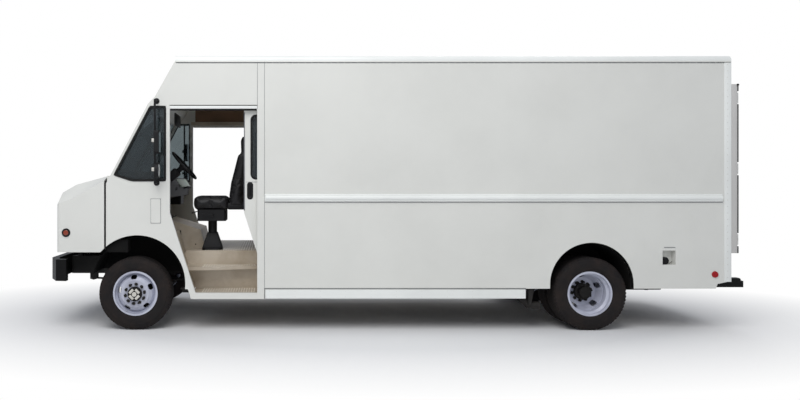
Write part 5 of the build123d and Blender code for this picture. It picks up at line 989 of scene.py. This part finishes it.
liner_black = finish("moulded_polyethylene", "090909", "161412", 0.8, 4, 0.3, Specular_IOR_Level=0.2)
liner_thickness = 0.003
liner_outer = 1.148
lip_y = 1.150
lip_width = 0.0512
corner_block_place = (-3.226, 1.069, 0.982)
corner_block_size = (0.250, 0.176, 0.150)
liner_table = (
    # place, arch middle x and height, radius, inner edge, angles from the front, and the radius
    # and angles of the black edge strip
    ("front", -2.988, 0.549, 0.530, 0.640, 12, 172, 0.5555, 52, 172),
    ("rear", rear_axle_x, 0.539, 0.472, 0.612, -8, 188, 0.4805, 0, 180),
)
for place, x, z, radius, inner, start, end, lip, lip_start, lip_end in liner_table:
    for name, side in sides:
        arc = arch_points(x, z, radius, side * inner, start, end, 20)
        guard = drawn_out(arc, side * (liner_outer - inner))
        wall = chain(arc, closed=True)
        bpy.ops.object.mode_set(mode="OBJECT")
        liner = modify(joined(guard, wall), "WELD", merge_threshold=0.0005)
        liner = modify(liner, "SOLIDIFY", thickness=liner_thickness, offset=0)
        arc = arch_points(x, z, lip, side * lip_y, lip_start, lip_end, 24)
        if place == "rear":
            foot_z = skirt_level + 0.002
            arc = [(*arc[0][:2], foot_z)] + arc + [(*arc[-1][:2], foot_z)]
        edge = modify(drawn_out(arc, side * lip_width), "SOLIDIFY", thickness=liner_thickness, offset=0)
        liner = joined(liner, edge)
        if place == "front":
            corner_x, corner_y, corner_z = corner_block_place
            liner = joined(liner, block((corner_x, side * corner_y, corner_z), corner_block_size, 0.004))
        complete(liner, f"arch_liner_{place}_{name}", "root", liner_black)

# Driver's seat: foam cushions in grained black vinyl, swelled by a short cloth simulation under
# air pressure, on the fixed pedestal.
seat_vinyl = finish("grained_seat_vinyl", "121113", "1b1a1b", 0.5, 2.5, 0.25, Specular_IOR_Level=0.35)
dress(seat_vinyl, "seat_cushion", "seat_back")
voxel = 0.0066
swell_cap = 0.022
swell_frames = 20
swell_pressure = 4
pad_table = (
    # node, share of its own size before it swells
    ("seat_cushion", (0.96, 0.95, 0.84)),
    ("seat_back", (0.88, 0.94, 0.99)),
)
for node, share in pad_table:
    low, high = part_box(node)
    middle = (Vector(low) + Vector(high)) / 2
    pad = twin(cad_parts[node])
    modify(pad, "WELD", merge_threshold=0.0002)
    pad.matrix_world = (
        Matrix.Translation(middle) @ Matrix.Diagonal((*share, 1)) @ Matrix.Translation(-middle)
    )
    settle(pad)
    modify(pad, "REMESH", mode="VOXEL", voxel_size=voxel)
    still = [vertex.co.copy() for vertex in pad.data.vertices]
    cloth = pad.modifiers.new("cloth", "CLOTH")
    cloth.settings.use_pressure = True
    cloth.settings.uniform_pressure_force = swell_pressure
    cloth.settings.effector_weights.gravity = 0
    for step in range(1, swell_frames + 1):
        bpy.context.scene.frame_set(step)
    only(pad)
    bpy.ops.object.modifier_apply(modifier="cloth")
    bpy.context.scene.frame_set(1)
    for vertex, start in zip(pad.data.vertices, still):
        move = vertex.co - start
        if move.length > swell_cap:
            vertex.co = start + move.normalized() * swell_cap
    modify(pad, "SUBSURF", levels=1, render_levels=1)
    complete(pad, f"padded_{node}", "root", seat_vinyl, 60)
    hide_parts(node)

# Seat frame: a height lever and a slide bar under the cushion's front, and a recliner that joins
# the back to the cushion.
base_low, base_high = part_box("seat_base")
back_low, back_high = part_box("seat_back")
bar_ends = (base_low[1] + 0.08, base_high[1] - 0.08)
bar_root = (base_low[0] - 0.02, base_high[2] - 0.03)
bar_front = (base_low[0] - 0.075, base_high[2] - 0.045)
slide_bar = rod([
    (bar_root[0], bar_ends[0], bar_root[1]), (bar_front[0], bar_ends[0], bar_front[1]),
    (bar_front[0], bar_ends[1], bar_front[1]), (bar_root[0], bar_ends[1], bar_root[1]),
], 0.006, bend=0.025)
lever_z = base_high[2] - 0.06
lever = rod([
    (base_low[0] + 0.2, base_low[1] - 0.004, lever_z), (base_low[0] + 0.2, base_low[1] - 0.04, lever_z),
    (base_low[0] + 0.06, base_low[1] - 0.05, lever_z + 0.01),
], 0.007, bend=0.015)
recliner = block(
    (back_low[0] + 0.085, (back_low[1] + back_high[1]) / 2, back_low[2] - 0.008),
    (0.25, back_high[1] - back_low[1] - 0.05, 0.09), 0.03,
)
complete(joined(slide_bar, lever, recliner), "seat_levers", "root", black_plastic)

# Header boards and vents: a tan board over each doorway inside, and a seal and screws round the
# raised vent panel on each cab side.
lining_tan = finish("primed_hardboard", "8a6a52", "79604b", 0.7, 5, 0.1)
board_size = (0.95, 0.004, 0.18)
vent_x, vent_z = -2.772, 1.388
vent_half_width, vent_half_height = 0.059, 0.1425
vent_screw_x, vent_screw_z = 0.045, 0.128
for name, side in sides:
    board = block((-2.10, side * 1.1525, 2.72), board_size, 0.001)
    complete(board, f"header_board_{name}", "root", lining_tan)
    screws = repeat(rivet(side), [
        (vent_x + x * vent_screw_x, side * (half_width + 0.006), vent_z + z * vent_screw_z)
        for x in (-1, 1) for z in (-1, 0, 1)
    ])
    complete(screws, f"vent_screws_{name}", "root", coach_white)
    corners = [
        (vent_x + x * vent_half_width, side * (half_width + 0.001), vent_z + z * vent_half_height)
        for x, z in ((-1, -1), (-1, 1), (1, 1), (1, -1))
    ]
    seal = rubber_frame(corners, 0.005, 0.003, 0.0)
    complete(seal, f"vent_seal_{name}", "root", sealant_and_shadow_grey)


# Engine cover: pressed sheet held by steel catches, with a ribbed black mat on its sloping top
# and bolts along its foot.
def leaning(size, bevel, lean, place):
    """A block turned about an axis across the van, and put at its place."""
    piece = block((0, 0, 0), size, bevel)
    piece.rotation_euler = (0, lean, 0)
    piece.location = place
    return settle(piece)


cover_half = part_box("engine_cover")[1][1]
mat_front, mat_rear = Vector((-3.22, 0, 1.352)), Vector((-2.72, 0, 1.235))
mat_lean = (mat_rear - mat_front).normalized()
mat_pitch = 0.04
mat_rib_count = 13
mat_rib_size = (0.018, 2 * cover_half - 0.06, 0.005)
mat_rise = Vector((0, 0, 0.018))
mat_ribs = [
    leaning(mat_rib_size, 0.002, math.atan2(-mat_lean.z, mat_lean.x),
            mat_front + mat_lean * (i * mat_pitch) + mat_rise)
    for i in range(mat_rib_count)
]
complete(joined(*mat_ribs), "engine_cover_mat", "root", black_rubber)
cover_bolt_z = 0.93
catch_z = 1.06
catch_size = (0.035, 0.014, 0.10)
for name, side in sides:
    bolts = repeat(bolt_head(0.009, 0.006, (0, side, 0)), [
        (x, side * cover_half, cover_bolt_z) for x in steps(-3.2, -2.4, 0.16)
    ])
    catches = [block((x, side * (cover_half + 0.006), catch_z), catch_size, 0.006) for x in (-3.0, -2.6)]
    complete(joined(bolts, *catches), f"engine_cover_catches_{name}", "root", fitting_steel)

# Dashboard: a moulded binnacle with two round dials and a row of rocker switches ahead of the
# driver, a grab bar and a pale heater panel on the other side, a shroud and a stalk on the
# column, and a sun visor above.
dial_white = finish("printed_dial", "c9cdcf", "b9bdbf", 0.4, 5, 0.01)
face_x, face_z = -2.690, 1.735
face_out = Vector((0.09, 0, 0.06)).normalized()
column_lean = 0.732
dial_rows = (-0.69, -0.51)
dial_outline = [(0.002, 0.046), (0.002, 0)]
dial_rim_outline = [(-0.006, 0.05), (0.008, 0.05), (0.010, 0.047), (0.008, 0.044), (0.0, 0.044)]
centres = [Vector((face_x, y, face_z)) + face_out * 0.002 for y in dial_rows]
dials = [turned(dial_outline, centre, face_out, (0, 1, 0)) for centre in centres]
rims = [turned(dial_rim_outline, centre, face_out, (0, 1, 0)) for centre in centres]
complete(joined(*dials), "dash_dials", "root", dial_white)
switch_size = (0.014, 0.026, 0.045)
switch_rows = (-0.36, -0.32, -0.28, -0.24, -0.88, -0.92)
switches = [block((-2.656, y, 1.64), switch_size, 0.003) for y in switch_rows]
grab_bar = rod([
    (-2.665, 0.42, 1.64), (-2.60, 0.42, 1.66), (-2.60, 0.88, 1.66), (-2.665, 0.88, 1.64),
], 0.011, bend=0.03)
stalk = rod([(-2.60, -0.63, 1.80), (-2.575, -0.75, 1.84)], 0.006)
shroud = leaning((0.15, 0.12, 0.11), 0.02, -column_lean, (-2.652, -0.60, 1.812))
visor = block((-2.60, -0.62, 2.485), (0.018, 0.46, 0.15), 0.008)
fittings = joined(*rims, *switches, grab_bar, stalk, shroud, visor)
complete(fittings, "dash_fittings", "root", black_plastic)
pale_green = finish("grey_green_enamel", "b6c7b8", "a5b5a7", 0.5, 4, 0.05)
panel = leaning((0.012, 0.98, 0.125), 0.004, -math.atan2(face_out.z, face_out.x), (-2.659, 0.40, 1.714))
complete(panel, "heater_panel", "root", pale_green)

# Seat pedestal: a moulded black boot flares over the foot of the column, with four bolts that
# hold its flange to the floor.
pedestal_x, pedestal_y = -2.166, -0.60
boot_foot_z = 0.918
boot_height = 0.185
boot_foot_radius, boot_top_radius = 0.168, 0.085
boot_bolt_x, boot_bolt_y = 0.10, 0.13
alone()
bpy.ops.mesh.primitive_cone_add(vertices=4, radius1=boot_foot_radius, radius2=boot_top_radius,
                                depth=boot_height, rotation=(0, 0, math.pi / 4))
boot = settle(bpy.context.object)
boot.location = (pedestal_x, pedestal_y, boot_foot_z + boot_height / 2)
boot = modify(settle(boot), "BEVEL", width=0.008, segments=2)
boot_bolts = repeat(bolt_head(0.009, 0.007, (0, 0, 1)), [
    (pedestal_x + x * boot_bolt_x, pedestal_y + y * boot_bolt_y, base_low[2] + 0.030)
    for x in (-1, 1) for y in (-1, 1)
])
complete(joined(boot, boot_bolts), "seat_boot", "root", black_plastic)

# Bulkhead and load space: folded ribs stiffen the bulkhead's sheet, a trim frames its doorway,
# and aluminium rub slats run along the cargo sides between the posts.
bulkhead_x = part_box("bulkhead")[0][0]
bulkhead_rib_rows = (0.45, 0.65, 0.85, 1.04)
bulkhead_rib_size = (0.006, 0.03, 2.0)
doorway_trim_size = (0.008, 0.022, 1.86)
slat_front, slat_rear = -0.60, body_rear_x - 0.07
slat_size = (slat_rear - slat_front, 0.005, 0.09)
slat_levels = (1.25, 1.60, 1.95, 2.30, 2.65)
for name, side in sides:
    ribs = [block((bulkhead_x - 0.003, side * y, 1.95), bulkhead_rib_size, 0.002) for y in bulkhead_rib_rows]
    trim = block((bulkhead_x - 0.004, side * 0.362, 1.82), doorway_trim_size, 0.002)
    complete(joined(*ribs, trim), f"bulkhead_ribs_{name}", "root", mill_aluminium)
    slats = [block(((slat_front + slat_rear) / 2, side * 1.1275, z), slat_size, 0.002) for z in slat_levels]
    complete(joined(*slats), f"cargo_slats_{name}", "root", mill_aluminium)

# Brake chambers: pressed cans with a clamp band ahead of the rear axle, their rods reaching the
# drums, fed by a steel pipe clipped along the left rail.
can_outline = [
    (0, 0), (0, 0.03), (0.004, 0.062), (0.05, 0.072), (0.056, 0.078), (0.066, 0.078), (0.072, 0.072),
    (0.12, 0.06), (0.13, 0.02), (0.13, 0),
]
can_x = rear_axle_x - 0.30
can_y = 0.535
can_z = axle_z + 0.055
pipe_y, pipe_z = -0.438, 0.755
cans = [turned(can_outline, (can_x, side * can_y, can_z), (1, 0, 0), (0, 0, 1), 28) for name, side in sides]
pushrods = [
    rod([(can_x + 0.13, side * can_y, can_z), (rear_axle_x - 0.05, side * 0.56, axle_z + 0.03)], 0.009)
    for name, side in sides
]
brake_pipe = rod([
    (front_axle_x + 0.3, pipe_y, pipe_z), (1.30, pipe_y, pipe_z), (1.62, -0.46, 0.70), (can_x, -can_y, can_z),
], 0.006, bend=0.05)
complete(joined(*cans, *pushrods, brake_pipe), "brake_chambers", "root", chassis_black)


# Exhaust and tank fixings: steel clamp bands round the silencer and the pipe, and straps drawn
# round the tank.
def clamp_band(x, half, inner, outer, facets):
    """A band round the exhaust's axis at a station along the van."""
    outline = [(-half, inner), (-half, outer), (half, outer), (half, inner), (-half, inner)]
    return turned(outline, (x, silencer_y, silencer_z), (1, 0, 0), (0, 0, 1), facets)


tank_low, tank_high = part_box("fuel_tank")
silencer_y, silencer_z = -0.640, 0.452
clamps = [clamp_band(x, 0.015, 0.1055, 0.1085, 32) for x in (0.36, 1.14)]
clamps += [clamp_band(x, 0.012, 0.0385, 0.042, 24) for x in (-1.6, -0.8, 0.0, 0.27)]
tank_half = 0.330
tank_middle_z = (tank_low[2] + tank_high[2]) / 2
strap_width = 0.04
strap_metal = 0.004
straps = []
for x in (3.0, 3.4):
    under = (strap_width, 2 * tank_half - 0.09, strap_metal)
    straps.append(block((x, 0, tank_low[2] - strap_metal / 2), under, 0.001))
    upright = (strap_width, strap_metal, 0.11)
    straps += [block((x, side * (tank_half + strap_metal / 2), tank_middle_z), upright, 0.001)
               for name, side in sides]
complete(joined(*clamps, *straps), "exhaust_clamps", "root", fitting_steel)

# Step brackets: black folded plates that carry the front foot of each step well behind the
# wheel, each with a gusset under it.
bracket_x = -2.452
for name, side in sides:
    plate = block((bracket_x, side * 1.06, 0.478), (0.09, 0.13, 0.012))
    gusset = block((bracket_x, side * 1.0, 0.45), (0.08, 0.008, 0.07))
    complete(joined(plate, gusset), f"step_bracket_{name}", "root", chassis_black)

# Fuel cap: a black moulded cap with a finger bar and a tether to the pocket's wall, under a
# drip rail.
cap_x, cap_y, cap_z = 3.123, -1.171, 0.809
fuel_cap_outline = [(-0.028, 0.0435), (0.0, 0.0435), (0.004, 0.040), (0.005, 0.0)]
cap = turned(fuel_cap_outline, (cap_x, cap_y, cap_z), (0, -1, 0), (1, 0, 0))
bridge = block((cap_x, cap_y - 0.011, cap_z), (0.066, 0.014, 0.016), 0.004)
tether = rod([
    (cap_x + 0.03, cap_y + 0.01, cap_z - 0.02), (cap_x + 0.06, cap_y + 0.02, cap_z - 0.035),
    (cap_x + 0.095, cap_y + 0.03, cap_z - 0.01),
], 0.003, bend=0.02)
complete(joined(cap, bridge, tether), "fuel_cap", "root", black_plastic)
drip_rail = on_side(left, 3.158, 0.967, 0.13, 0.007, 0.002, 0.006, 0.002)
complete(drip_rail, "filler_drip_rail", "root", sealant_and_shadow_grey)

# Rear corner posts: an extruded hinge post at each corner under an anodised cover, its back edge
# covered by a black rubber strip between the hinges. A seal runs round each door.
door_aluminium = finish("clear_anodised_aluminium", "cfcdc9", "c4c2be", 0.4, 1.5, 0.04, patch_mm=1500,
                        metallic=0.2)
dress(door_aluminium, "rear_door_left", "rear_door_right")
door_low, door_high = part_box("rear_door_left")
post_rear_x = body_rear_x + 0.075
post_y = half_width - 0.010
hinge_levels = [door_low[2] + share * (door_high[2] - door_low[2]) for share in (0.08, 0.5, 0.92)]
strip_gap = 0.075
strip_ends = [door_low[2]]
strip_ends += [level + turn * strip_gap for level in hinge_levels for turn in (-1, 1)]
strip_ends.append(door_high[2])
knob_outline = [(-0.012, 0.012), (0.004, 0.014), (0.012, 0.010), (0.014, 0)]
knob_z = 2.845
door_seal_inner, door_seal_outer = 0.008, 1.116
for name, side in sides:
    strips = [
        block((post_rear_x + 0.006, side * post_y, (low + high) / 2), (0.012, 0.016, high - low), 0.004)
        for low, high in zip(strip_ends[::2], strip_ends[1::2])
    ]
    knob_centre = (post_rear_x + 0.004, side * (half_width - 0.008), knob_z)
    knob = turned(knob_outline, knob_centre, (0, side, 0), (1, 0, 0), 20)
    complete(joined(*strips, knob), f"post_strip_{name}", "root", black_rubber)
    cover = block((body_rear_x + 0.037, side * (post_y + 0.0035), 1.877), (0.070, 0.003, 1.95), 0.001)
    complete(cover, f"post_cover_{name}", "root", door_aluminium)
    low, high = door_low[2] + 0.004, door_high[2] - 0.004
    corners = [
        (body_rear_x + 0.003, side * y, z)
        for y, z in ((door_seal_inner, low), (door_seal_inner, high), (door_seal_outer, high),
                     (door_seal_outer, low))
    ]
    frame_seal = rubber_frame(corners, 0.02, 0.005, 0.0)
    complete(frame_seal, f"rear_door_seal_{name}", "root", black_rubber)

# Rear doors: ribbed sheet in clear anodised aluminium, with bolted hinge straps, steel keepers
# and a lever handle on each lock bar.
door_face = body_rear_x + 0.056
bar_x = body_rear_x + 0.078
bar_y = 0.097
keeper_levels = (door_low[2] + 0.12, 1.45, 2.3, door_high[2] - 0.12)
keeper_size = (0.012, 0.026, 0.05)
cam_levels = (door_low[2] + 0.03, door_high[2] - 0.03)
cam_size = (0.034, 0.05, 0.022)
hinge_bolt_rows = (1.055, 1.080)
door_rib_rows = (0.35, 0.62, 0.89)
door_rib_size = (0.004, 0.03, 1.80)
for name, side in sides:
    body = f"rear_door_{name}"
    keepers = [block((door_face + 0.006, side * (bar_y + turn * 0.032), z), keeper_size)
               for z in keeper_levels for turn in (-1, 1)]
    cams = [block((bar_x, side * bar_y, z), cam_size, 0.004) for z in cam_levels]
    bolts = repeat(bolt_head(0.008, 0.006, (1, 0, 0)), [
        (door_face + 0.045, side * y, z) for z in hinge_levels for y in hinge_bolt_rows
    ])
    complete(joined(*keepers, *cams, bolts), f"door_keepers_{name}", body, fitting_steel)
    handle = rod([
        (bar_x + 0.010, side * bar_y, 1.26), (bar_x + 0.012, side * (bar_y + 0.03), 1.26),
        (bar_x + 0.010, side * (bar_y + 0.24), 1.20),
    ], 0.009, bend=0.02)
    complete(handle, f"door_handle_{name}", body, black_plastic)
    ribs = [block((door_face + 0.002, side * y, 1.87), door_rib_size, 0.001) for y in door_rib_rows]
    complete(joined(*ribs), f"rear_door_ribs_{name}", body, door_aluminium)
